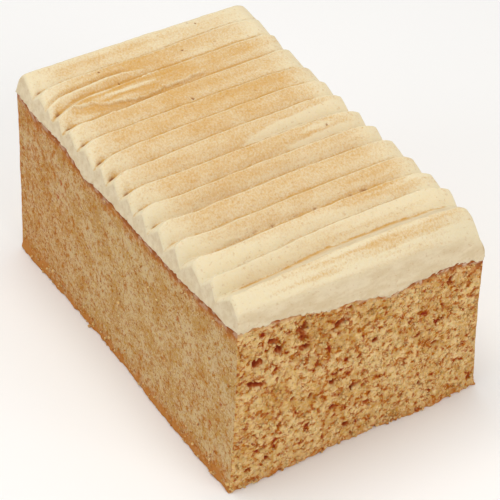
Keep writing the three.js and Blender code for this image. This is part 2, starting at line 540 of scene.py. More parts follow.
@dataclass(frozen=True)
class Hole:
    """One hole or torn hollow that is placed on a cut face.

    Attributes:
        across: its place along the face in mm.
        up: its height above the base in mm.
        wide: its half width in mm.
        tall: its half height in mm.
        depth: its depth in mm; a lump that stands proud has a depth below zero.
        tilt: how many degrees its right end is raised.
    """

    across: float
    up: float
    wide: float
    tall: float
    depth: float
    tilt: float = 0.0

    def shape(self, across: Array, up: Array, wobble: Array) -> Array:
        """An uneven ellipse: 1 - d^2 plus the wobble, where d is 1 on the ellipse.

        Args:
            across: places along the face in mm.
            up: their heights in mm.
            wobble: noise that makes the rim uneven.

        Returns:
            A share from 0 outside to 1 in the middle.
        """
        turn = math.radians(self.tilt)
        a, b = across - self.across, up - self.up
        along = (a * math.cos(turn) + b * math.sin(turn)) / self.wide
        over = (b * math.cos(turn) - a * math.sin(turn)) / self.tall
        return np.clip(1.0 - along * along - over * over + wobble, 0.0, 1.0)


@dataclass
class Sponge:
    """The block of sponge, one closed surface whose walls carry the crumb.

    Attributes:
        slab: the outline it fills.
        rows: points from the base to the top of the walls.
        above_crust: how far the walls rise inside the icing, in mm.
        corner: how far the upright corners are rounded off, in mm.
        grain_size: spacing of the finest grain in mm.
        sway_size: spacing of the broad unevenness in mm.
        warps: spacing, reach and seed of the noises that bend the lumps' outlines, in mm.
        hole_wobble: how uneven the listed holes are.
        left_hole_share: how deep the holes of the left side are next to those of the front.
        hollow_roughness: how much rougher the crumb is in the torn hollow.
        seat_depth: how far the walls step back where they stand inside the icing, in mm.
        foot_height: height over which the ragged foot spreads, in mm.
        foot_proud: how far the foot stands out, in mm.
        foot_waver: how far that varies, in mm.
        bulges: place, reach and height of each bulge along the front's foot, in mm; a height
            below zero makes a hollow.
        most_proud: the furthest that crumb may stand out of the plain walls, in mm.
        crust_band: thickness of the browned top crust on each side, in mm.
        base_band: thickness of the browned base crust on each side, in mm.
        faces: the crumb of each side.
        hollow: the torn hollow under the icing at the front left.
        front_holes: holes and lumps placed on the broken end.
        left_holes: the same on the left side.
    """

    slab: Slab
    rows: int = 130
    above_crust: float = 0.5
    corner: float = 0.2
    grain_size: float = 0.8
    sway_size: float = 8.0
    warps: tuple[tuple[float, float, int], ...] = ((2.8, 0.5, 11), (1.0, 0.15, 15))
    hole_wobble: float = 0.9
    left_hole_share: float = 0.5
    hollow_roughness: float = 0.7
    seat_depth: float = 0.7
    foot_height: float = 2.2
    foot_proud: float = 0.35
    foot_waver: float = 0.3
    bulges: tuple[tuple[float, float, float], ...] = ((27.0, 16.0, 0.7), (-3.0, 11.0, -0.7))
    most_proud: float = 1.2
    crust_band: dict[Side, float] = field(
        default_factory=lambda: {Side.LEFT: 2.6, Side.FRONT: 1.0, Side.RIGHT: 2.6, Side.BACK: 1.5}
    )
    base_band: dict[Side, float] = field(
        default_factory=lambda: {Side.LEFT: 2.6, Side.FRONT: 1.3, Side.RIGHT: 2.4, Side.BACK: 1.6}
    )
    faces: dict[Side, CrumbFace] = field(
        default_factory=lambda: {
            Side.LEFT: knife_face(100, 220),
            Side.FRONT: broken_face(200, 290),
            Side.RIGHT: knife_face(300, 115),
            Side.BACK: broken_face(400, 90),
        }
    )
    hollow: Hole = Hole(-17.0, 43.5, 16.0, 11.0, 1.0)
    front_holes: tuple[Hole, ...] = tuple(Hole(*row) for row in (
        (-19.5, 47.6, 2.3, 1.5, 1.7, 20), (-18.6, 44.6, 1.3, 2.2, 1.3), (-26.0, 43.2, 1.5, 1.1, 1.5, -30),
        (-28.4, 47.6, 1.7, 1.3, 1.2), (-18.0, 41.2, 2.4, 1.1, 1.5), (-8.0, 43.8, 4.4, 1.3, 1.5, 40),
        (-33.0, 42.3, 1.8, 1.2, 1.2, -20), (-33.5, 35.2, 3.6, 1.0, 1.1, -25),
        (-13.5, 33.8, 1.1, 1.2, 1.3), (4.5, 33.8, 1.4, 1.0, 1.3, -15), (-0.6, 30.2, 1.1, 0.8, 1.0),
        (-8.8, 24.8, 1.5, 1.0, 1.5), (-15.9, 23.0, 0.9, 0.9, 1.5), (-21.5, 24.8, 1.0, 0.9, 1.3),
        (-1.8, 20.2, 1.7, 1.0, 1.2), (1.4, 18.4, 1.0, 0.9, 1.1), (-25.9, 17.2, 0.9, 1.2, 1.3),
        (2.4, 11.8, 1.8, 0.9, 1.2), (-8.4, 15.8, 1.3, 0.9, 1.0), (-3.4, 6.4, 1.1, 1.2, 1.3),
        (-29.7, 7.3, 0.9, 0.8, 1.2), (-35.9, 6.0, 0.9, 0.8, 1.0), (20.8, 10.0, 1.0, 1.0, 1.2),
        (24.9, 23.0, 1.3, 0.8, 1.2), (19.0, 28.4, 1.6, 0.8, 1.2, 10), (28.7, 43.5, 0.9, 1.6, 1.2),
        (22.8, 30.4, 3.2, 1.4, -0.7), (-31.3, 37.9, 3.2, 2.2, -0.8), (-20.8, 38.6, 1.6, 2.6, -0.6, 20),
        (-22.5, 49.6, 3.0, 2.2, -0.5),
    ))
    left_holes: tuple[Hole, ...] = tuple(Hole(*row) for row in (
        (-34.8, 41.4, 1.3, 1.0, 0.6), (-41.0, 36.2, 1.0, 0.7, 0.5), (-37.3, 34.6, 1.1, 1.0, 0.5),
        (-21.5, 26.2, 0.9, 1.1, 0.7), (-21.0, 14.3, 1.1, 0.9, 0.7), (24.5, 41.6, 0.9, 0.9, 0.6),
        (30.0, 39.0, 0.9, 1.4, 0.5), (39.0, 29.0, 1.2, 1.1, 0.6), (52.8, 25.5, 0.9, 0.9, 0.6),
        (31.2, 17.6, 1.2, 0.7, 0.6), (39.8, 18.2, 0.8, 1.2, 0.6), (48.5, 16.2, 0.8, 0.8, 0.6),
        (12.6, 31.6, 0.6, 0.7, 0.5), (19.7, 32.4, 0.7, 0.5, 0.5), (-57.6, 39.4, 0.8, 0.7, 0.5),
    ))

    def stations(self) -> tuple[Array, Array, Array]:
        """Stations round the slab, anticlockwise seen from above, starting at the back left corner.

        Returns:
            The share from -1 to 1 along X and along Y of each station, and its side's number.
        """
        along, across, side = [], [], []
        for which, face in self.faces.items():
            run = 2.0 * np.arange(face.steps) / face.steps - 1.0
            ones = np.ones(face.steps)
            along.append({Side.LEFT: run, Side.FRONT: ones, Side.RIGHT: -run, Side.BACK: -ones}[which])
            across.append({Side.LEFT: -ones, Side.FRONT: run, Side.RIGHT: ones, Side.BACK: -run}[which])
            side.append(np.full(face.steps, which.value))
        return np.concatenate(along), np.concatenate(across), np.concatenate(side)

    def plain_wall(self, along: Array, across: Array) -> Array:
        """The wall before it has any crumb.

        Args:
            along, across: each station's shares of the way along X and Y.

        Returns:
            Points in mm, rows from the base to the crust by stations round the slab.
        """
        share = np.linspace(0.0, 1.0, self.rows)[:, None]
        x_base = np.broadcast_to(along * self.slab.length / 2, (self.rows, len(along)))
        y_base = self.slab.side_y(x_base, np.zeros_like(x_base), across)
        z = share * (self.slab.crust(x_base, y_base) + self.above_crust)
        x = self.slab.end_x(z, along)
        high = 0.3 + 0.7 * z / self.slab.crust_heights[0]
        x = x - high * self.slab.setback(y_base) * smoothstep(0.85, 1.0, along)
        return np.stack([x, self.slab.side_y(x, z, across), z], axis=-1)

    def outward(self, along: Array, across: Array, side: Array) -> tuple[Array, Array]:
        """Outward direction of each station, turned gently round the corners.

        Args:
            along, across: each station's shares of the way along X and Y.
            side: its side's number.

        Returns:
            The directions, and how far in mm each station stands back to round its corner.
        """
        plain = np.array([[0.0, -1.0, 0.0], [1.0, 0.0, 0.0], [0.0, 1.0, 0.0], [-1.0, 0.0, 0.0]])[side]
        turned = sum(np.roll(plain, k, axis=0) for k in (-2, -1, 0, 1, 2))
        turned /= np.linalg.norm(turned, axis=1, keepdims=True)
        half = np.array([self.slab.length / 2, self.slab.left_base[1]])
        gap = np.stack([(1.0 - np.abs(along)) * half[0], (1.0 - np.abs(across)) * half[1]], axis=-1)
        return turned, self.corner * np.clip(1.0 - np.max(gap, axis=1), 0.0, 1.0) ** 2

    def placed(self, points: Array, holes: tuple[Hole, ...], axis: int) -> tuple[Array, Array]:
        """Depth of the listed holes and lumps.

        Args:
            points: places on the face in mm.
            holes: what is placed on it.
            axis: 0 where they are placed along X, 1 along Y.

        Returns:
            The depth in mm, and from 0 to 1 how far into a hole each point lies.
        """
        wobble = self.hole_wobble * fractal_noise(points, 1.3, 3, 71)
        depth = np.zeros(points.shape[:-1])
        inside = np.zeros(points.shape[:-1])
        for hole in holes:
            shape = hole.shape(points[..., axis], points[..., 2], wobble) ** 0.75
            depth = depth + hole.depth * shape
            if hole.depth > 0:
                inside = np.maximum(inside, shape)
        return depth, inside

    def crumb(self, points: Array, which: Side) -> tuple[Array, Array, Array]:
        """Depth of the crumb behind the plain wall of one side.

        It is the face's broad sway, its torn hollow, listed holes and pores, plus its lumps
        and grain, which are rougher in the hollow.

        Args:
            points: places on that side's plain wall, in mm.
            which: the side.

        Returns:
            The depth in mm, from 0 to 1 how low each point lies between lumps, and from 0 to 1
            how far it lies in a pore.
        """
        face = self.faces[which]
        warped = points
        for size, reach, seed in self.warps:
            warped = warped + reach * noise_vector(points, size, seed)
        coarse = face.coarse.crease(warped)
        fine = face.fine.crease(warped)
        grain = 0.5 - 0.5 * fractal_noise(points, self.grain_size, 2, 31)
        sway = 0.5 - 0.5 * fractal_noise(points, self.sway_size, 2, 35)
        torn = np.zeros(points.shape[:-1])
        depth, pore = np.zeros(points.shape[:-1]), np.zeros(points.shape[:-1])
        if which is Side.FRONT:
            torn = self.hollow.shape(points[..., 1], points[..., 2], 0.5 * fractal_noise(points, 4.0, 2, 73))
            depth, pore = self.placed(points, self.front_holes, 1)
        if which is Side.LEFT:
            depth, pore = self.placed(points, self.left_holes, 0)
            depth, pore = self.left_hole_share * depth, self.left_hole_share * pore
        rough = 1.0 + self.hollow_roughness * torn
        depth = depth + face.sway * sway + self.hollow.depth * torn - face.proud
        depth = depth + rough * (face.coarse.depth * coarse + face.fine.depth * fine + face.grain * grain)
        # Deeper pores reach further into the finish's pore colours, their painted shade.
        for pores in face.pores:
            bowls = np.sqrt(pores.bowls(warped))
            depth = depth + pores.depth * bowls
            pore = np.maximum(pore, bowls * min(1.0, 0.2 + 0.65 * pores.depth))
        # How low a point lies between lumps; the finish paints low places darker as shade.
        low = 0.5 * coarse + 0.4 * fine + 0.25 * grain + 0.3 * torn * coarse
        return depth, low, pore

    def crusts(self, wall: Array, side: Array) -> dict[str, Array]:
        """How browned each point is, from 0 to 1, and where icing is smeared on the crumb.

        The front's top crust shows mostly near its right corner, so the band thickens there and
        is fainter to the left. The left side gets painted shade towards the back, in the warm colour.

        Args:
            wall: places on the plain walls in mm.
            side: the number of each station's side.

        Returns:
            The share of the top crust, of the base crust, of the warm fade next to both, which on
            the left side also holds painted shade towards the back, and of the icing that is smeared on the
            crumb just under the layer.
        """
        below = self.slab.crust(wall[..., 0], wall[..., 1]) - wall[..., 2]
        top_thick = np.array([self.crust_band[which] for which in Side])[side][None, :]
        base_thick = np.array([self.base_band[which] for which in Side])[side][None, :]
        at_front = (side == Side.FRONT.value)[None, :]
        at_left = (side == Side.LEFT.value)[None, :]
        top_thick = top_thick + at_front * 2.0 * smoothstep(12.0, 24.0, wall[..., 1])
        back_left = bump(wall[..., 0], -50.0, 22.0) * at_left
        corner = bump(wall[..., 0], 54.0, 6.0) * at_left
        base_thick = base_thick * (0.85 + 0.8 * back_left + 1.1 * corner)
        # Each band ends where the distance from its edge, over its thickness, passes about 1.
        ragged = fractal_noise(wall, 2.4, 3, 41)
        patchy = value_noise(wall, 9.0, 51)
        top = 1.0 - smoothstep(0.15, 1.05, below / top_thick + 0.35 * ragged - 0.2 * patchy)
        top = top * (1.0 - 0.5 * at_front * smoothstep(18.0, 8.0, wall[..., 1]))
        base = 1.0 - smoothstep(0.35, 1.1, wall[..., 2] / base_thick + 0.55 * ragged - 0.25 * patchy)
        fade = 0.5 * ragged - 0.4 * patchy
        warm_top = 1.0 - smoothstep(0.2, 2.3, below / top_thick + fade)
        warm_base = 1.0 - smoothstep(0.2, 3.2, wall[..., 2] / base_thick + fade)
        # Painted shade: the left side darkens towards the back.
        painted_back_shade = 0.35 * smoothstep(0.0, -58.0, wall[..., 0]) * at_left
        warm = np.maximum(np.maximum(warm_top, 0.8 * warm_base), painted_back_shade)
        smeared = 1.0 - smoothstep(0.9, 2.4, below + 0.7 * ragged)
        smeared = smeared * smoothstep(0.05, 0.4, fractal_noise(wall, 1.5, 2, 57) + 0.3 * patchy)
        front_smear = at_front * (0.4 + 0.6 * smoothstep(-5.0, 20.0, wall[..., 1]))
        smeared = smeared * (front_smear + 0.6 * at_left)
        return {"topside": top, "underside": base, "warm": warm, "smeared": smeared}

    def walls(self) -> tuple[Array, Array, dict[str, Array]]:
        """The four walls with their crumb.

        Returns:
            The points in mm, rows by stations; each station's outward direction; and the
            values that the finish reads: low, pore, open, topside, underside, warm and smeared.
        """
        along, across, side = self.stations()
        wall = self.plain_wall(along, across)
        outward, back = self.outward(along, across, side)
        depth, low, pore = (np.zeros(wall.shape[:2]) for _ in range(3))
        for which in Side:
            columns = side == which.value
            depth[:, columns], low[:, columns], pore[:, columns] = self.crumb(wall[:, columns], which)
        below = self.slab.crust(wall[..., 0], wall[..., 1]) - wall[..., 2]
        at_front = (side == Side.FRONT.value)[None, :]
        # The crumb fades out just under the icing, and the wall steps back inside it.
        seated = smoothstep(-0.1, np.where(at_front, 1.7, 0.5), below)
        depth = depth * seated + self.seat_depth * (1.0 - smoothstep(-0.5, 0.15, below))
        # The ragged foot stands out a little, and its lowest half millimetre is rounded off.
        foot = 1.0 - smoothstep(0.0, self.foot_height, wall[..., 2])
        depth = depth - foot * (self.foot_proud + self.foot_waver * fractal_noise(wall, 1.8, 2, 45))
        bulge = sum(height * bump(wall[..., 1], place, reach) for place, reach, height in self.bulges)
        depth = depth - at_front * bulge * (1.0 - smoothstep(2.0, 14.0, wall[..., 2]))
        edge = np.clip(1.0 - wall[..., 2] / 0.5, 0.0, 1.0) ** 2
        depth = np.maximum(depth, -self.most_proud) + back + 0.3 * edge
        is_open = np.array([self.faces[which].open for which in Side])[side][None, :]
        values = {"low": low, "pore": pore * seated, "open": is_open, **self.crusts(wall, side)}
        return wall - outward[None, :, :] * depth[..., None], outward, values

    def build(self, material: bpy.types.Material) -> bpy.types.Object:
        """Makes the sponge.

        Args:
            material: the crumb's finish.

        Returns:
            The sponge object.
        """
        points, _, values = self.walls()
        surface = SurfaceMesh()
        index = surface.add_points(points, values)
        surface.add_grid(index, closed=True)
        self.close_end(surface, points[0], index[0], base=True)
        self.close_end(surface, points[-1], index[-1], base=False)
        return surface.make("sponge_crumb", material)

    def close_end(self, surface: SurfaceMesh, ring: Array, index: Array, base: bool) -> None:
        """Closes the base or the top with rings that shrink to the middle.

        Args:
            surface: the mesh to add to.
            ring: the wall's end ring, in mm.
            index: the ring's point numbers.
            base: whether this is the base, which lies flat but for shallow dimples.
        """
        crust = {"topside": float(not base), "underside": float(base), "warm": 1.0, "smeared": 0.0}
        values = {"low": 0.4, "pore": 0.0, "open": 0.0, **crust}
        rows = [index]
        for share in (*CAP_RINGS, 0.0):
            points = (ring if share else ring[:1]) * np.array([share, share, 1.0])
            if base:
                points[:, 2] = 0.12 * (1.0 + fractal_noise(points, 4.0, 2, 61)) * (share < 0.97)
            else:
                points[:, 2] = self.slab.crust(points[:, 0], points[:, 1]) + self.above_crust
            rows.append(surface.add_points(points, values))
        grid = np.stack(rows[:-1])
        surface.add_grid(grid[::-1] if base else grid, closed=True)
        surface.add_fan(grid[-1][::-1] if base else grid[-1], int(rows[-1][0]))


@dataclass
class LooseCrumbs:
    """Small crumbs that cling mostly to the broken ends and the lower edges.

    Attributes:
        sponge: the sponge they cling to.
        count: how many there are.
        smallest: radius of the smallest in mm.
        largest: radius of the largest in mm.
        tries: seats that are drawn for each crumb, most of which are then dropped.
        highest: share of the walls' height up to which they sit.
        proud: how far a crumb's middle stands out of the surface, as a share of its radius.
        floor_gap: height in mm below which no crumb reaches.
        seed: of the random numbers that place and shape them.
    """

    sponge: Sponge
    count: int = 3600
    smallest: float = 0.16
    largest: float = 0.6
    tries: int = 6
    highest: float = 0.96
    proud: float = 0.25
    floor_gap: float = 0.02
    seed: int = 7

    def ball(self) -> tuple[Array, Array]:
        """An icosahedron of radius 1.

        Returns:
            Its twelve corners, and its faces as triples of corner numbers, seen from outside.
        """
        g = (1.0 + math.sqrt(5.0)) / 2.0
        corners = np.array([(-1, g, 0), (1, g, 0), (-1, -g, 0), (1, -g, 0), (0, -1, g), (0, 1, g),
                            (0, -1, -g), (0, 1, -g), (g, 0, -1), (g, 0, 1), (-g, 0, -1), (-g, 0, 1)])
        faces = np.array([(0, 11, 5), (0, 5, 1), (0, 1, 7), (0, 7, 10), (0, 10, 11), (1, 5, 9), (5, 11, 4),
                          (11, 10, 2), (10, 7, 6), (7, 1, 8), (3, 9, 4), (3, 4, 2), (3, 2, 6), (3, 6, 8),
                          (3, 8, 9), (4, 9, 5), (2, 4, 11), (6, 2, 10), (8, 6, 7), (9, 8, 1)])
        return corners / np.linalg.norm(corners[0]), faces

    def build(self, material: bpy.types.Material) -> bpy.types.Object:
        """Makes the crumbs: each is a ball with random stretches along three axes and a random
        turn, and its corners are pushed in and out by up to a fifth.

        Their places are drawn at random. Broken crumb is likelier than cut crumb, the foot is
        likelier by e^(-height / 2 mm), and pores stay empty.

        Args:
            material: the crumb's finish.

        Returns:
            One object that holds all crumbs.
        """
        points, outward, values = self.sponge.walls()
        random = np.random.default_rng(self.seed)
        rows, columns = points.shape[:2]
        draws = self.count * self.tries
        low_row = 1 + (rows * self.highest * random.random(draws)).astype(int)
        column = random.integers(0, columns, draws)
        near_foot = np.exp(-points[low_row, column, 2] / 2.0)
        is_open = np.broadcast_to(values["open"], (rows, columns))[low_row, column]
        liking = 0.03 + 0.55 * is_open + 0.75 * near_foot
        liking = liking * (values["pore"][low_row, column] < 0.3)
        keep = np.nonzero(random.random(len(column)) < liking)[0][: self.count]
        seat, face_out = points[low_row[keep], column[keep]], outward[column[keep]]
        n = len(keep)
        radius = self.smallest + (self.largest - self.smallest) * random.random(n) ** 2.5
        corners, faces = self.ball()
        quaternion = random.normal(size=(n, 4))
        w, x, y, z = (quaternion / np.linalg.norm(quaternion, axis=1, keepdims=True)).T
        turn = np.stack([
            np.stack([1 - 2 * (y * y + z * z), 2 * (x * y - w * z), 2 * (x * z + w * y)], axis=-1),
            np.stack([2 * (x * y + w * z), 1 - 2 * (x * x + z * z), 2 * (y * z - w * x)], axis=-1),
            np.stack([2 * (x * z - w * y), 2 * (y * z + w * x), 1 - 2 * (x * x + y * y)], axis=-1),
        ], axis=1)
        stretch = radius[:, None, None] * random.uniform(0.65, 1.35, (n, 1, 3))
        shaped = corners[None] * random.uniform(0.8, 1.2, (n, len(corners), 1)) * stretch
        shaped = np.einsum("nij,nkj->nki", turn, shaped)
        shaped = shaped + (seat + face_out * (self.proud * radius)[:, None])[:, None, :]
        shaped[..., 2] = np.maximum(shaped[..., 2], self.floor_gap)
        browned = np.maximum(values["underside"], values["topside"])[low_row[keep], column[keep]]
        tone = random.random((n, 1)) * 0.45
        surface = SurfaceMesh()
        surface.add_points(shaped, {
            "low": tone, "pore": 0.0, "open": 1.0, "topside": 0.0, "underside": 0.7 * browned[:, None],
            "warm": 0.0, "smeared": 0.0,
        })
        surface.faces = (faces[None] + len(corners) * np.arange(n)[:, None, None]).reshape(-1, 3).tolist()
        return surface.make("loose_crumbs", material)


# ----------------------------------------
# Icing
# ----------------------------------------


@dataclass(frozen=True)
class Ridge:
    """One ridge that the comb left, in mm.

    Attributes:
        path: X of its crest line at five places across the slab, left to right.
        height: its crest in the middle of the slab.
        groove: depth of the groove in front of it, at its left and right ends.
        pale: how pale it is on the left, in the middle and on the right, from 0 to 1.
        notch_shadow: how deep the dent in the groove at its left end is and how dark its painted shadow,
            from 0 to 1.
        steps: points down its front slope.
        back_run: how far the next ridge's back slope runs, as a share of the groove's depth.
    """

    path: tuple[float, float, float, float, float]
    height: float
    groove: tuple[float, float]
    pale: tuple[float, float, float]
    notch_shadow: float
    steps: int = 14
    back_run: float = 1.05


@dataclass(frozen=True)
class Tear:
    """A torn lip across a ridge's slope, below which the surface drops.

    Attributes:
        places: Y of the points of its line.
        line: X of each point.
        drop: how far the surface drops, in mm.
        reach: how far in front of the line the drop has faded out, in mm.
    """

    places: tuple[float, ...]
    line: tuple[float, ...]
    drop: float
    reach: float

    def fall(self, x: Array, y: Array) -> tuple[Array, Array]:
        """Where the surface has dropped and where its rim is raised.

        The line wavers by two noises. The drop starts at once in front of it and fades out from
        0.6 to 1 of its reach, and both drop and rim fade at the line's two ends.

        Args:
            x, y: places along the slab and across it, in mm.

        Returns:
            The share of the drop at each place, and its nearness to the rim, both from 0 to 1.
        """
        flat = np.stack([0.3 * x, y, np.zeros_like(x)], axis=-1)
        ahead = x - soft_line(self.places, self.line, y, 0.5)
        ahead = ahead + 0.3 * value_noise(flat, 1.1, 94) + 0.35 * value_noise(flat, 3.5, 95)
        ends = smoothstep(self.places[0], self.places[0] + 3.0, y)
        ends = ends * (1.0 - smoothstep(self.places[-1] - 6.0, self.places[-1], y))
        fallen = smoothstep(0.0, 0.25, ahead) * (1.0 - smoothstep(0.6 * self.reach, self.reach, ahead))
        return ends * fallen, ends * bump(ahead, -0.15, 0.4)


@dataclass(frozen=True)
class Spot:
    """A small round or long mark on the icing's top: a pit, a dark nick or a pale smear.

    Attributes:
        x: its place along the slab in mm.
        y: its place across the slab in mm.
        along: its half size along X in mm.
        across: its half size along Y in mm.
        strength: how strong it is, from 0 to 1.
    """

    x: float
    y: float
    along: float
    across: float
    strength: float

    def shape(self, x: Array, y: Array) -> Array:
        """Strength times (1 - d^2)^2, where d is 1 on the mark's rim."""
        d = np.clip(((x - self.x) / self.along) ** 2 + ((y - self.y) / self.across) ** 2, 0.0, 1.0)
        return self.strength * (1.0 - d) ** 2


@dataclass(frozen=True)
class Sliver:
    """A pale smear with crisp edges that lies on one ridge's front slope.

    Attributes:
        ridge: the ridge's number, from 0 at the back.
        places: Y of the points of its edges.
        upper: its upper edge at each, as a share of the slope.
        lower: its lower edge.
        strength: how pale it is.
        streaks: from 0, smooth, to 1, broken into streaks.
    """

    ridge: int
    places: tuple[float, ...]
    upper: tuple[float, ...]
    lower: tuple[float, ...]
    strength: float
    streaks: float

    def shape(self, ridge: Array, share: Array, x: Array, y: Array) -> Array:
        """Strength inside its edges, eased over a twentieth of the slope and at both its ends.

        Args:
            ridge: the number of each place's ridge.
            share: its share of the way down the ridge's front slope.
            x, y: its place along and across the slab in mm.

        Returns:
            How much paler each place is.
        """
        flat = np.stack([x, 0.15 * y, np.zeros_like(x)], axis=-1)
        ragged = fractal_noise(flat, 0.9, 2, 99)
        upper = np.interp(y, self.places, self.upper) + 0.06 * ragged
        lower = np.interp(y, self.places, self.lower) + 0.04 * ragged
        inside = smoothstep(upper - 0.05, upper + 0.05, share)
        inside = inside * smoothstep(lower + 0.05, lower - 0.05, share)
        ends = smoothstep(self.places[0], self.places[0] + 2.0, y)
        ends = ends * smoothstep(self.places[-1], self.places[-1] - 4.0, y)
        broken = 1.0 - self.streaks * (0.5 - 0.8 * ragged)
        return self.strength * (ridge == self.ridge) * inside * ends * broken


@dataclass
class IcingTop:
    """The icing's upper surface while it is worked out, as arrays of one shape.

    Attributes:
        x: X of each place in mm.
        y: its Y.
        z: its height.
        pale: how pale it is, painted highlights and shade included.
    """

    x: Array
    y: Array
    z: Array
    pale: Array

    def change(self, height: Array, paleness: Array) -> None:
        """Adds to the height and to the paleness."""
        self.z = self.z + height
        self.pale = self.pale + paleness


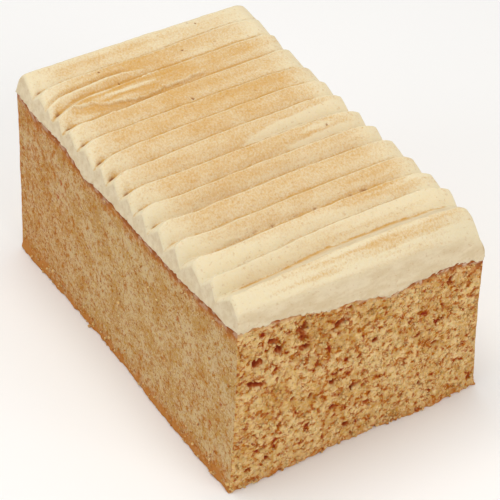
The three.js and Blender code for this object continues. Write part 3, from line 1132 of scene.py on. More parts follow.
@dataclass
class Icing:
    """The layer of icing: ridges on top, cut faces round it, an underside seated in the crust.

    Places and sizes are in mm. A round is the fall of the ridges' ends towards one side.

    Attributes:
        slab: the outline it covers.
        path_places, groove_places, pale_places: Y of the places where the ridges' crest lines,
            the grooves' depths and the ridges' paleness are given.
        ridges: the ridges, from back to front.
        edge_steps, back_steps, lip_steps: points from the back lip up to the first crest, up each
            back slope, and from the last crest to the front lip.
        cross_steps, wall_steps: points across the slab, and down each cut face.
        plan_half: half of the width over which the ridges are laid out.
        crest_rounding: power of the front slopes, 1 for straight.
        left_round_x, left_round_run, left_round_drop: X of the points where the left round is
            given, how far it reaches in from the side, and how far it lowers the ridge's end.
        right_round_x, right_round_run, right_round_drop: the same for the right round.
        left_bevel: width and depth of the bevel along the left rim.
        right_corner: radius of the quarter round along the right rim at each point.
        dent_depth: depth of the deepest dent at a groove's left end.
        back_lip: X and Z of the back edge.
        front_lip_x: X of the front edge.
        foot_inset: how far the lower edge stays inside the sponge's ends, and the underside
            below the crust.
        foot_level: the height at which the lower edge's Y is read from the slab's sides.
        nub: X, Z and height of the small nub on the right cut face.
        lip_places, lip_heights: Y and height of the points of the front edge's line.
        short_ridge: Y and X of the points of the short extra ridge's crest.
        short_fade: the stretch of Y over which that ridge runs out.
        short_height, short_groove: its height, and the depth of the groove behind it.
        tears, tear_rim: the torn lips, and how far their rims are raised.
        rough_slope, dark_valley: the slope that the comb left streaked, and the hollow behind it.
        beaded_ridge, bead_height: number of the ridge with beads on its crest, and their height.
        pits, pit_depth: pits and the dark nicks along the second torn lip, and the deepest's depth.
        lip_lines, lip_line_depth: X, reach and strength of the lines drawn into the front lip, which
        are also painted darker as shade, and the deepest's depth.
        slivers: the pale smears.
    """

    slab: Slab
    path_places: tuple[float, ...] = (-38.0, -30.0, 0.0, 30.0, 38.0)
    groove_places: tuple[float, ...] = (-36.0, 36.0)
    pale_places: tuple[float, ...] = (-25.0, -5.0, 20.0)
    ridges: tuple[Ridge, ...] = (
        Ridge((-58.2, -58.2, -58.0, -57.9, -57.8), 64.4, (2.7, 0.6), (0.50, 0.38, 0.52), 0.7),
        Ridge((-48.5, -50.2, -49.7, -51.3, -50.0), 64.0, (2.6, 1.4), (0.36, 0.05, 0.38), 0.8, 28),
        Ridge((-36.5, -40.1, -41.6, -42.4, -41.2), 63.4, (2.8, 2.2), (0.14, 0.0, 0.16), 0.9, 28),
        Ridge((-30.5, -30.5, -32.0, -33.2, -33.4), 62.9, (2.7, 1.5), (0.36, 0.15, 0.26), 0.8),
        Ridge((-22.1, -23.1, -23.9, -24.2, -22.6), 62.6, (2.9, 1.4), (0.24, 0.10, 0.12), 0.9),
        Ridge((-12.6, -14.5, -15.7, -16.1, -14.3), 62.6, (3.5, 2.3), (0.36, 0.22, 0.26), 1.0),
        Ridge((-5.5, -5.9, -7.4, -8.0, -6.5), 62.5, (3.3, 3.7), (0.32, 0.28, 0.42), 0.8),
        Ridge((1.7, 2.6, 1.6, 1.2, 2.6), 62.4, (3.3, 3.4), (0.32, 0.25, 0.32), 0.6),
        Ridge((9.6, 11.0, 9.9, 9.5, 10.7), 62.4, (4.2, 3.2), (0.44, 0.34, 0.38), 0.5),
        Ridge((17.9, 19.3, 18.0, 18.0, 18.5), 62.4, (4.1, 2.2), (0.42, 0.35, 0.33), 0.4),
        Ridge((27.1, 28.3, 27.1, 26.5, 28.0), 62.4, (4.3, 2.6), (0.66, 0.36, 0.36), 0.3),
        Ridge((35.6, 36.6, 35.3, 35.1, 36.5), 62.5, (3.4, 2.2), (0.86, 0.46, 0.48), 0.1),
        Ridge((45.0, 44.9, 42.6, 42.8, 45.0), 62.8, (4.4, 3.3), (0.92, 0.66, 0.90), 0.1, 14, 1.5),
        Ridge((53.9, 53.6, 52.4, 53.4, 53.5), 63.1, (0.0, 0.0), (0.44, 0.25, 0.30), 0.0),
    )
    edge_steps: int = 8
    back_steps: int = 7
    lip_steps: int = 30
    cross_steps: int = 206
    wall_steps: int = 18
    plan_half: float = 38.5
    crest_rounding: float = 1.15
    left_round_x: tuple[float, ...] = (-58, -50, -37, -22, -6, 9, 27, 36, 45, 54)
    left_round_run: tuple[float, ...] = (1.5, 3.5, 3.5, 4.0, 4.5, 4.5, 3.5, 3.0, 2.0, 1.2)
    left_round_drop: tuple[float, ...] = (0.3, 1.7, 1.4, 1.9, 2.4, 2.4, 1.8, 1.7, 1.0, 0.6)
    left_bevel: tuple[float, float] = (0.6, 0.35)
    right_round_x: tuple[float, ...] = (-58, -42, -30, 0, 30, 46, 54, 59)
    right_round_run: tuple[float, ...] = (3.5, 4.0, 5.0, 5.5, 6.0, 8.0, 14.0, 8.0)
    right_round_drop: tuple[float, ...] = (1.3, 1.6, 1.8, 2.0, 2.4, 2.4, 2.2, 0.8)
    right_corner: tuple[float, ...] = (0.5, 0.5, 0.6, 0.6, 0.7, 1.2, 3.0, 0.8)
    dent_depth: float = 0.8
    back_lip: tuple[float, float] = (-60.3, 62.4)
    front_lip_x: float = 59.2
    foot_inset: float = 0.1
    foot_level: float = 50.0
    nub: tuple[float, float, float] = (60.0, 50.0, 0.7)
    lip_places: tuple[float, ...] = (-40, -28, -16, 0, 8, 17, 26, 33, 36, 40)
    lip_heights: tuple[float, ...] = (60.3, 60.3, 60.0, 58.9, 58.2, 58.0, 57.0, 55.2, 54.0, 52.8)
    short_ridge: tuple[tuple[float, ...], tuple[float, ...]] = (
        (-38.0, -34.0, -30.0, -22.0, -14.0, -4.0),
        (-42.7, -44.1, -45.0, -45.6, -46.1, -45.4),
    )
    short_fade: tuple[float, float] = (-14.0, -3.0)
    short_height: float = 1.15
    short_groove: float = 0.7
    tears: tuple[Tear, ...] = (
        Tear((-34.5, -29.6, -25.9, -23.5, -17.0, -9.0, -5.0, -1.0, 5.0, 14.0),
             (-38.9, -38.0, -38.5, -36.9, -36.4, -35.4, -35.8, -36.4, -36.8, -37.0), 0.6, 3.4),
        Tear((-27.0, -24.0, -20.0, -12.0, 0.0, 10.0, 20.0, 32.0),
             (30.6, 30.9, 31.4, 31.8, 31.9, 31.8, 31.8, 32.0), 0.35, 3.0),
    )
    tear_rim: float = 0.12
    rough_slope: Spot = Spot(-39.2, -15.0, 3.3, 20.0, 1.0)
    dark_valley: Spot = Spot(-43.6, 2.0, 1.2, 20.0, 0.5)
    beaded_ridge: int = 2
    bead_height: float = 0.5
    pit_depth: float = 0.55
    lip_lines: tuple[tuple[float, float, float], ...] = ((56.6, 0.34, 1.0), (57.7, 0.28, 0.6))
    lip_line_depth: float = 0.35
    pits: tuple[Spot, ...] = tuple(Spot(*row) for row in (
        (-26.3, -9.0, 0.6, 1.0, 1.0), (-27.3, 1.0, 0.5, 0.6, 1.0), (-47.5, 9.6, 0.6, 0.6, 0.9),
        (-56.7, 19.7, 0.6, 0.6, 0.7), (-57.8, 17.5, 0.5, 0.5, 0.6), (-27.7, 18.0, 0.6, 0.6, 0.7),
        (-47.0, 20.5, 0.5, 0.6, 0.6), (14.5, 28.0, 0.7, 0.5, 0.8), (15.2, 7.6, 0.6, 0.5, 0.8),
        (3.1, 26.4, 0.6, 0.6, 0.6), (-5.0, 26.0, 0.5, 0.5, 0.5), (7.0, 6.0, 0.5, 0.5, 0.6),
        (6.2, 13.0, 0.5, 0.5, 0.5), (-9.4, -25.7, 0.5, 0.5, 0.6), (-21.0, 18.0, 0.7, 0.6, 0.6),
        (-49.2, -17.5, 0.6, 0.7, 0.9), (-43.6, -14.0, 0.6, 0.5, 0.7), (31.9, 28.8, 0.6, 1.6, 0.4),
        (31.5, 19.0, 0.6, 2.6, 0.65), (31.5, 14.6, 0.6, 1.8, 0.6), (31.3, 3.0, 0.6, 1.7, 0.5),
        (31.2, -2.8, 0.6, 2.2, 0.5), (31.2, -10.0, 0.6, 1.6, 0.6), (31.1, -16.0, 0.6, 2.2, 0.4),
    ))
    slivers: tuple[Sliver, ...] = (
        Sliver(6, (1.0, 6.0, 14.0, 22.0, 38.0),
               (0.92, 0.72, 0.52, 0.42, 0.30), (0.94, 0.97, 0.97, 0.96, 0.9), 1.1, 0.1),
        Sliver(7, (11.0, 16.0, 24.0, 34.0), (0.92, 0.72, 0.62, 0.55), (0.94, 0.97, 0.97, 0.92), 0.9, 0.2),
        Sliver(7, (17.0, 21.0, 26.0, 31.0), (0.35, 0.15, 0.12, 0.3), (0.40, 0.42, 0.48, 0.5), 0.55, 0.5),
        Sliver(10, (-39.0, -34.0, -26.0, -19.0), (0.30, 0.35, 0.50, 0.8), (0.95, 0.95, 0.95, 0.9), 0.4, 1.0),
        Sliver(11, (-39.0, -32.0, -24.0, -17.0), (0.02, 0.05, 0.20, 0.4), (0.60, 0.70, 0.60, 0.5), 0.4, 1.0),
        Sliver(0, (-30.0, -20.0, 30.0, 39.0), (0.02, 0.02, 0.02, 0.02), (0.35, 0.30, 0.30, 0.3), 0.25, 0.4),
        Sliver(2, (-30.0, -24.0, -10.0, -2.0), (0.10, 0.08, 0.08, 0.2), (0.32, 0.36, 0.34, 0.3), 0.35, 1.2),
    )

    def crest_x(self, y: Array) -> Array:
        """X of every ridge's crest line at places across the slab, one row for each ridge.

        Each line wavers by its own two noises, 5 and 1.5 mm long.

        Args:
            y: places across the slab in mm.

        Returns:
            X in mm, ridges by places.
        """
        lines = []
        for number, ridge in enumerate(self.ridges):
            track = np.stack([np.full_like(y, 20.0 * number), y, np.zeros_like(y)], axis=-1)
            waver = 0.22 * value_noise(track, 5.0, 97) + 0.1 * value_noise(track, 1.5, 98)
            lines.append(soft_line(self.path_places, ridge.path, y, 2.2) + waver)
        return np.stack(lines)

    def ridge_values(self, places: tuple[float, ...], name: str, y: Array) -> Array:
        """One of the ridges' own fields at places across the slab, one row for each ridge."""
        return np.stack([np.interp(y, places, getattr(ridge, name)) for ridge in self.ridges])

    def plan(self, y: Array) -> tuple[Array, Array, Array, Array]:
        """The ridges' profile before their ends are rounded, as columns along X by places across Y.

        From each crest the front slope falls to the groove as share^1.15, nearly straight, and
        the back slope climbs from there to the next crest, mostly steeper than 45 degrees. Columns
        lie closer together next to the crests, which keeps those sharp.

        Args:
            y: places across the slab.

        Returns:
            X and Z of every column, its ridge's number, and its share of the way from the
            ridge's crest to the groove; back slopes have shares from 1 to 2.
        """
        crest = self.crest_x(y)
        height = [ridge.height for ridge in self.ridges]
        depth = self.ridge_values(self.groove_places, "groove", y)
        edge = (np.arange(self.edge_steps) / self.edge_steps)[:, None]
        x = [self.back_lip[0] + (crest[0] - self.back_lip[0]) * edge]
        z = [height[0] + (self.back_lip[1] - height[0]) * (1.0 - edge) ** 2 * np.ones(len(y))]
        number, share = [np.zeros(self.edge_steps)], [np.zeros(self.edge_steps)]
        back = (1.0 - (1.0 - np.arange(self.back_steps) / self.back_steps) ** 1.6)[:, None]
        for i, ridge in enumerate(self.ridges[:-1]):
            front = ((np.arange(ridge.steps) / ridge.steps) ** 1.35)[:, None]
            floor = (height[i] + height[i + 1]) / 2 - depth[i]
            gap = crest[i + 1] - crest[i]
            bottom = crest[i + 1] - np.minimum(ridge.back_run * depth[i] + 0.2, 0.62 * gap)
            x += [crest[i] + (bottom - crest[i]) * front, bottom + (crest[i + 1] - bottom) * back]
            z += [height[i] + (floor - height[i]) * front**self.crest_rounding]
            z += [floor + (height[i + 1] - floor) * back**0.95]
            number.append(np.full(ridge.steps + self.back_steps, i))
            share.append(np.concatenate([front[:, 0], 1.0 + back[:, 0]]))
        run = ((np.arange(self.lip_steps + 1) / self.lip_steps) ** 1.1)[:, None]
        lip = soft_line(self.lip_places, self.lip_heights, y, 1.0)
        x.append(crest[-1] + (self.front_lip_x - self.slab.setback(y) - crest[-1]) * run)
        z.append(height[-1] + (lip - height[-1]) * run**1.5)
        number.append(np.full(len(run), len(self.ridges) - 1))
        share.append(np.zeros(len(run)))
        number = np.concatenate(number).astype(int)
        return np.concatenate(x), np.concatenate(z), number, np.concatenate(share)

    def across_shares(self) -> Array:
        """Shares of the way across, -1 to 1, of the steps, which are closer together at the ends."""
        part = np.linspace(0.0, 1.0, self.cross_steps)
        return 2.0 * (part - 0.45 * np.sin(2 * np.pi * part) / (2 * np.pi)) - 1.0

    def round_ends(self, x: Array, z: Array, from_left: Array, from_right: Array) -> Array:
        """Lowers the ridges' ends by drop times (1 - d / run)^2, where d is how far in they lie.

        A quarter round then joins the right ends to the wall, and a short bevel the left ones.

        Args:
            x: X of the surface in mm.
            z: its height before.
            from_left, from_right: its distances from the two sides.

        Returns:
            Its height with rounded ends.
        """
        run = np.interp(x, self.right_round_x, self.right_round_run)
        drop = np.interp(x, self.right_round_x, self.right_round_drop)
        z = z - drop * np.clip(1.0 - from_right / run, 0.0, 1.0) ** 2
        radius = np.interp(x, self.right_round_x, self.right_corner)
        z = z - radius + np.sqrt(radius**2 - np.clip(radius - from_right, 0.0, radius) ** 2)
        run = np.interp(x, self.left_round_x, self.left_round_run)
        drop = np.interp(x, self.left_round_x, self.left_round_drop)
        z = z - drop * np.clip(1.0 - from_left / run, 0.0, 1.0) ** 2
        bevel_run, bevel_drop = self.left_bevel
        return z - bevel_drop * np.clip(1.0 - from_left / bevel_run, 0.0, 1.0) ** 2

    def top(self) -> tuple[Array, dict[str, Array]]:
        """The whole upper surface, as a grid of columns along X by steps across Y.

        Its paleness is the ridge's own with painted light laid on it: painted highlights on the crest
        and along the front lip, painted light down the front slope and, in part, towards both sides, and
        painted shade in grooves, dents and their shadows.

        Returns:
            Its points in mm, and the values that the finish reads.
        """
        side = self.across_shares()
        y_plan = side * self.plan_half
        x, z, ridge, share = self.plan(y_plan)
        pale = self.ridge_values(self.pale_places, "pale", y_plan)[ridge]
        ridge, share = ridge[:, None], share[:, None]
        across = np.broadcast_to(side, x.shape)
        left_edge = self.slab.side_y(x, z, np.full_like(x, -1.0))
        right_edge = self.slab.side_y(x, z, np.full_like(x, 1.0))
        y = np.where(across < 0, -across * left_edge, across * right_edge)
        from_left, from_right = y - left_edge, right_edge - y
        z = self.round_ends(x, z, from_left, from_right)
        on_front = share <= 1.0
        strength = np.array([r.notch_shadow for r in self.ridges])[ridge]
        low_down = np.where(on_front, 0.15 + 0.85 * share**2.5, smoothstep(1.7, 1.0, share))
        dent = strength * low_down * bump(from_left, 2.3, 1.9)
        z = z - self.dent_depth * dent
        # Painted shadow in the notch at each groove's left end, strongest at the groove's bottom.
        bottom = np.where(on_front, share**7, smoothstep(1.4, 1.0, share))
        notch_shadow = strength * bump(from_left, 1.9, 1.6) * bottom
        slope = np.where(on_front, share, 0.0)
        # Painted light: a thin painted highlight on each crest, and lighter lower front slopes that offset
        # the shade falling there.
        pale = pale + 0.2 * smoothstep(0.35, 0.92, slope) + 0.35 * bump(share, 0.0, 0.07)
        surface = IcingTop(x, y, z, pale)
        pit = self.marks(surface)
        z, pale = surface.z, surface.pale
        for smear in self.slivers:
            pale = pale + smear.shape(ridge, share, x, y)
        points = np.stack([x, y, z], axis=-1)
        fine = fractal_noise(points, 5.0, 3, 81)
        points[..., 2] += 0.07 * fine + 0.05 * fractal_noise(points, 1.3, 2, 83)
        points[..., 1] = self.slab.side_y(x, points[..., 2], across)
        out = np.abs(y)
        # Paler towards both sides: partly the icing's own paler ends, partly painted light on the rounded
        # ends.
        pale = pale + 0.28 * smoothstep(26.0, 33.0, out) + 0.32 * smoothstep(31.0, 37.5, out)
        # Painted shade: each groove is darkened towards its bottom, raggedly, and the last groove most.
        groove = np.where(on_front, smoothstep(0.89, 0.98, share), smoothstep(1.7, 1.0, share))
        at_last_groove = ridge == len(self.ridges) - 2
        ragged_groove_shade = 0.85 + 0.6 * value_noise(points, 1.4, 79)
        pale = pale - 0.7 * (1.0 + 1.1 * at_last_groove) * groove * ragged_groove_shade
        # Painted shade in the dents at the grooves' left ends, and a painted shadow on the lower front slope
        # beside them.
        shadow = smoothstep(0.45, 1.0, slope) * bump(from_left, 2.6, 3.2)
        pale = pale - 0.5 * dent - 0.35 * strength * shadow + 0.10 * fine
        # A painted highlight along the front lip.
        pale = pale + 0.35 * bump(x, 58.4, 1.0)
        beige_back = at_last_groove * smoothstep(1.15, 1.4, share) * smoothstep(36.0, 30.0, out)
        lip_x = self.front_lip_x - self.slab.setback(y)
        near_lip = 0.5 * smoothstep(lip_x - 0.9, lip_x, x)
        cut = np.maximum(0.7 * beige_back, near_lip)
        return points, {"pale": pale, "pit": pit, "notch_shadow": notch_shadow, "cut": cut}

    def add_short_ridge(self, top: IcingTop) -> None:
        """Adds the short extra ridge, with a groove behind it, a painted highlight on its crest and painted
        shade in that groove and on the slope in front.

        It climbs in a straight line over the 0.7 mm behind its crest, and d mm in front of the
        crest it stands (1 - d / 3.4)^1.3 of its height.

        Args:
            top: the surface, which is changed.
        """
        places, line = self.short_ridge
        ahead = top.x - soft_line(places, line, top.y, 1.5)
        there = 1.0 - smoothstep(*self.short_fade, top.y)
        behind_crest = np.clip(1.0 + ahead / 0.7, 0.0, 1.0)
        in_front = np.clip(1.0 - ahead / 3.4, 0.0, 1.0) ** 1.3
        tent = np.where(ahead < 0, behind_crest, in_front)
        groove = bump(ahead, -1.2, 1.3)
        # Painted highlight on the crest, painted shade in the groove behind it and on the slope in front.
        painted_light_and_shade = 0.7 * bump(ahead, 0.1, 0.5) - 0.45 * groove - 0.3 * bump(ahead, 2.2, 2.0)
        top.change(there * (self.short_height * tent - self.short_groove * groove), there * painted_light_and_shade)

    def add_streaks(self, top: IcingTop, flat: Array, combed: Array) -> None:
        """Adds the comb's fine streaks, strongest on the rough slope, and beads on one crest.

        Args:
            top: the surface, which is changed.
            flat: its places, level.
            combed: the same, drawn together across the slab so that noise becomes streaks.
        """
        streaks = value_noise(combed, 0.55, 92)
        streaked = self.rough_slope.shape(top.x, top.y) ** 0.6
        smeared = 0.10 + 0.30 * smoothstep(24.0, 36.0, top.x)
        top.z = top.z + streaked * (0.25 + 0.2 * streaks) + 0.02 * streaks
        smears = smeared * fractal_noise(combed, 1.3, 2, 96)
        top.pale = top.pale + streaked * (0.12 + 0.75 * streaks) + smears
        bead = bump(top.x, self.crest_x(top.y[0])[self.beaded_ridge], 0.7) * bump(top.y, -5.0, 8.0)
        bead = bead * smoothstep(-0.1, 0.5, value_noise(flat, 0.9, 91))
        top.change(self.bead_height * bead, 0.6 * bead)

    def marks(self, top: IcingTop) -> Array:
        """Adds the short extra ridge, torn lips, streaks, the valley, pits and the lip's lines.

        Args:
            top: the surface, which is changed.

        Returns:
            How deep each place is in a pit, from 0 to 1.
        """
        self.add_short_ridge(top)
        for tear in self.tears:
            fall, rim = tear.fall(top.x, top.y)
            top.z = top.z - tear.drop * fall + self.tear_rim * rim
            # Painted highlight on each torn rim, painted shade on the surface that dropped below it.
            top.pale = top.pale + tear.drop * (0.6 * rim - 0.4 * fall)
        flat = np.stack([top.x, top.y, np.zeros_like(top.x)], axis=-1)
        combed = flat * np.array([1.0, 0.07, 1.0]) + 0.08 * noise_vector(flat, 3.0, 90)
        self.add_streaks(top, flat, combed)
        valley = self.dark_valley.shape(top.x, top.y)
        top.change(-0.4 * valley, -0.3 * valley)
        pit = np.zeros_like(top.x)
        ragged = 1.0 + 0.5 * fractal_noise(flat, 0.8, 2, 93)
        for spot in self.pits:
            pit = np.maximum(pit, spot.shape(top.x, top.y) * ragged)
        bent = top.x + 0.02 * (top.y - 20.0)
        lines = sum(strength * bump(bent, place, reach) for place, reach, strength in self.lip_lines)
        lines = lines * smoothstep(-4.0, 8.0, top.y) * (0.8 + 0.6 * value_noise(combed, 4.0, 100))
        top.z = top.z - self.pit_depth * pit
        # The lip's lines are lowered and painted darker as shade.
        top.change(-self.lip_line_depth * lines, -0.6 * lines)
        return pit

    def cut_faces(self, top: Array, across: Array, at_back: Array, at_front: Array) -> tuple[Array, Array]:
        """The faces round the layer, from the top's rim to the crust line.

        At a share s of the way down they have moved out along X by 1 - (1 - s)^2.2, which rounds
        the lips. Their lower edge wavers and swells a little over the crumb.

        Args:
            top: the rim's points in mm.
            across: their shares of the way across.
            at_back, at_front: whether each lies on the back edge, and on the front edge.

        Returns:
            Points in mm, rows from top to bottom, and how much each looks cut, from 0 to 1.
        """
        half = self.slab.top_length / 2 - self.foot_inset
        setback = self.slab.setback(self.slab.side_reach * across)
        part = (top[:, 0] - self.back_lip[0]) / (self.front_lip_x - setback - self.back_lip[0])
        foot_x = (2.0 * half - setback) * part - half
        foot_y = self.slab.side_y(foot_x, np.full_like(foot_x, self.foot_level), across)
        foot = np.stack([foot_x, foot_y, np.zeros_like(foot_x)], axis=-1)
        at_end = at_back | at_front
        waver = np.where(at_end, 0.4, 0.12) * fractal_noise(foot, 2.6, 2, 85)
        waver = waver + np.where(at_end, 0.38, 0.16) * fractal_noise(foot, 0.8, 2, 86)
        foot_z = self.slab.crust(foot_x, foot_y) + np.where(at_end, -0.1, 0.1) + waver
        share = (np.arange(1, self.wall_steps + 1) / self.wall_steps)[:, None]
        x = top[:, 0] + (foot_x - top[:, 0]) * (1.0 - (1.0 - share) ** 2.2)
        z = top[:, 2] + (foot_z - top[:, 2]) * share
        y = self.slab.side_y(x, z, across)
        wall = np.stack([x, y, z], axis=-1)
        swell = 0.14 * smoothstep(0.6, 0.95, share) * (1.0 + 1.6 * fractal_noise(wall, 1.1, 2, 87))
        swell = swell + 0.06 * fractal_noise(wall, 3.0, 3, 89)
        nub_x, nub_z, nub_height = self.nub
        nub = nub_height * bump(wall[..., 0], nub_x, 3.0) * bump(wall[..., 2], nub_z, 3.5)
        edge = 1.0 - 1e-6
        wall[..., 0] += swell * (at_front.astype(float) - at_back)
        wall[..., 1] += swell * ((np.abs(across) > edge) * np.sign(across)) + nub * (across > edge)
        cut = smoothstep(0.0, np.where(at_front, 2.2, 0.5), top[:, 2] - z)
        return wall, np.where(at_front, 0.5 + 0.5 * cut, cut)

    def build(self, material: bpy.types.Material) -> bpy.types.Object:
        """Makes the icing: its top, its cut faces and an underside that follows the crust.

        Args:
            material: the icing's finish.

        Returns:
            The icing object.
        """
        points, values = self.top()
        surface = SurfaceMesh()
        index = surface.add_points(points, values)
        surface.add_grid(index.T)
        rim = np.concatenate([index[:-1, 0], index[-1, :-1], index[:0:-1, -1], index[0, :0:-1]])
        across = np.broadcast_to(self.across_shares(), index.shape).ravel()[rim]
        along = np.broadcast_to(np.arange(len(index))[:, None], index.shape).ravel()[rim]
        rim_points = points.reshape(-1, 3)[rim]
        wall, cut = self.cut_faces(rim_points, across, along == 0, along == len(index) - 1)
        below = {"pale": 0.9, "pit": 0.0, "notch_shadow": 0.0, "cut": 1.0}
        rows = [rim, *surface.add_points(wall, {**below, "cut": cut})]
        for inset in CAP_RINGS:
            level = wall[-1] * np.array([inset, inset, 1.0])
            level[:, 2] = self.slab.crust(level[:, 0], level[:, 1]) - self.foot_inset
            rows.append(surface.add_points(level, below))
        surface.add_grid(np.stack(rows)[::-1], closed=True)
        origin = np.zeros(1)
        middle = np.array([[0.0, 0.0, float(self.slab.crust(origin, origin)[0]) - self.foot_inset]])
        surface.add_fan(rows[-1][::-1], int(surface.add_points(middle, below)[0]))
        return surface.make("icing_layer", material)


# ----------------------------------------
# Finishes
# ----------------------------------------


class Shader:
    """A small helper that adds and links the nodes of one material."""

    def __init__(self, name: str) -> None:
        """Starts a material that holds only a Principled shader and its output.

        Args:
            name: the material's name.
        """
        self.material = bpy.data.materials.new(name)
        self.material.use_nodes = True
        self.nodes = self.material.node_tree.nodes
        self.links = self.material.node_tree.links
        self.surface = self.nodes["Principled BSDF"]
        self.coordinates = self.nodes.new("ShaderNodeTexCoord").outputs["Object"]

    def link(self, source: Socket, target: Socket) -> None:
        """Links an output to an input."""
        self.links.new(source, target)

    def attribute(self, name: str) -> Socket:
        """A number that the mesh has at each of its points.

        Args:
            name: the attribute's name.

        Returns:
            The number.
        """
        node = self.nodes.new("ShaderNodeAttribute")
        node.attribute_name = name
        return node.outputs["Fac"]

    def stretched(self, along: float, across: float, up: float, stir_mm: float) -> Socket:
        """Object coordinates, scaled along each axis and then stirred by noise.

        Args:
            along, across, up: scales along X, Y and Z.
            stir_mm: how far the noise moves them.

        Returns:
            The changed coordinates.
        """
        scale = self.nodes.new("ShaderNodeVectorMath")
        scale.operation = "MULTIPLY"
        scale.inputs[1].default_value = (along, across, up)
        self.link(self.coordinates, scale.inputs[0])
        texture = self.nodes.new("ShaderNodeTexNoise")
        texture.inputs["Scale"].default_value = 1.0 / (1.4 * MM)
        self.link(self.coordinates, texture.inputs["Vector"])
        stir = self.nodes.new("ShaderNodeVectorMath")
        stir.operation = "MULTIPLY_ADD"
        stir.inputs[1].default_value = (stir_mm * MM,) * 3
        self.link(texture.outputs["Color"], stir.inputs[0])
        self.link(scale.outputs["Vector"], stir.inputs[2])
        return stir.outputs["Vector"]

    def noise(
        self,
        size_mm: float,
        detail: float = 3.0,
        roughness: float = 0.55,
        at: Socket | None = None,
    ) -> Socket:
        """Noise from 0 to 1.

        Args:
            size_mm: about how large its features are.
            detail: how many finer layers it has.
            roughness: how strong those are.
            at: the coordinates, or none for the object's own.

        Returns:
            The noise.
        """
        node = self.nodes.new("ShaderNodeTexNoise")
        node.inputs["Scale"].default_value = 1.0 / (size_mm * MM)
        node.inputs["Detail"].default_value = detail
        node.inputs["Roughness"].default_value = roughness
        self.link(at or self.coordinates, node.inputs["Vector"])
        return node.outputs["Fac"]

    def lively(self, colour: Socket, size_mm: float, strength: float) -> Socket:
        """The colour with its saturation varied by noise around its own, its lightness kept.

        Args:
            colour: the colour to vary.
            size_mm: about how large the patches are.
            strength: how far the saturation varies.

        Returns:
            The varied colour.
        """
        node = self.nodes.new("ShaderNodeHueSaturation")
        share = self.plus(1.02 - 0.44 * strength, self.noise(size_mm, 3.0, 0.65), strength)
        self.link(share, node.inputs["Saturation"])
        self.link(colour, node.inputs["Color"])
        return node.outputs["Color"]

    def ramp(self, value: Socket, low: float, high: float) -> Socket:
        """Eases a number from 0 at low to 1 at high; high may be the lower of the two.

        Args:
            value: the number to ease.
            low, high: where it becomes 0 and 1.

        Returns:
            The eased number.
        """
        node = self.nodes.new("ShaderNodeMapRange")
        node.interpolation_type = "SMOOTHSTEP"
        flipped = high < low
        node.inputs["From Min"].default_value = min(low, high)
        node.inputs["From Max"].default_value = max(low, high)
        node.inputs["To Min"].default_value = float(flipped)
        node.inputs["To Max"].default_value = float(not flipped)
        self.link(value, node.inputs["Value"])
        return node.outputs["Result"]

    def maths(self, operation: str, *values: Socket | float) -> Socket:
        """A Math node.

        Args:
            operation: what it does.
            values: its inputs, as sockets or numbers.

        Returns:
            Its result.
        """
        node = self.nodes.new("ShaderNodeMath")
        node.operation = operation
        for socket, value in zip(node.inputs, values):
            if isinstance(value, (int, float)):
                socket.default_value = value
            else:
                self.link(value, socket)
        return node.outputs[0]

    def plus(self, base: Socket | float, extra: Socket, amount: float) -> Socket:
        """The base with an amount of something extra added to it."""
        return self.maths("MULTIPLY_ADD", extra, amount, base)

    def mix(self, share: Socket, first: Colour | Socket, second: Colour | Socket) -> Socket:
        """A blend of two colours.

        Args:
            share: from 0 for the first colour to 1 for the second.
            first, second: the colours.

        Returns:
            The blend.
        """
        node = self.nodes.new("ShaderNodeMix")
        node.data_type = "RGBA"
        self.link(share, node.inputs["Factor"])
        for socket, colour in ((node.inputs[6], first), (node.inputs[7], second)):
            if isinstance(colour, tuple):
                socket.default_value = (*colour, 1.0)
            else:
                self.link(colour, socket)
        return node.outputs[2]

    def coat(self, colour: Socket, over: Colour, share: Socket, amount: float) -> Socket:
        """A colour with another laid over it, as far as a share times an amount says."""
        return self.mix(self.maths("MULTIPLY", share, amount), colour, over)

    def relief(self, height: Socket, depth_mm: float, below: Socket | None = None) -> Socket:
        """A bump.

        Args:
            height: its height from 0 to 1.
            depth_mm: how high 1 is.
            below: the normal of a bump that it lies on, if any.

        Returns:
            The bumped normal.
        """
        node = self.nodes.new("ShaderNodeBump")
        node.inputs["Distance"].default_value = depth_mm * MM
        self.link(height, node.inputs["Height"])
        if below is not None:
            self.link(below, node.inputs["Normal"])
        return node.outputs["Normal"]

    def soften(self, roughness: float, gloss: float, share: float, radius_mm: Colour) -> None:
        """Sets how rough and glossy the surface is, and how light spreads inside it.

        Args:
            roughness: of the surface.
            gloss: its specular level.
            share: the share of the light that spreads inside.
            radius_mm: how far red, green and blue light spread.
        """
        self.surface.inputs["Roughness"].default_value = roughness
        self.surface.inputs["Specular IOR Level"].default_value = gloss
        self.surface.inputs["Subsurface Weight"].default_value = share
        self.surface.inputs["Subsurface Radius"].default_value = [radius * MM for radius in radius_mm]
        self.surface.inputs["Subsurface Scale"].default_value = 1.0


def srgb(red: int, green: int, blue: int) -> Colour:
    """A display colour as the linear colour that shaders work in.

    Args:
        red, green, blue: from 0 to 255.

    Returns:
        The three linear shares from 0 to 1.
    """

    def linear(value: int) -> float:
        """One display value as a linear share, by the standard sRGB curve."""
        share = value / 255.0
        return share / 12.92 if share <= 0.04045 else ((share + 0.055) / 1.055) ** 2.4

    return (linear(red), linear(green), linear(blue))


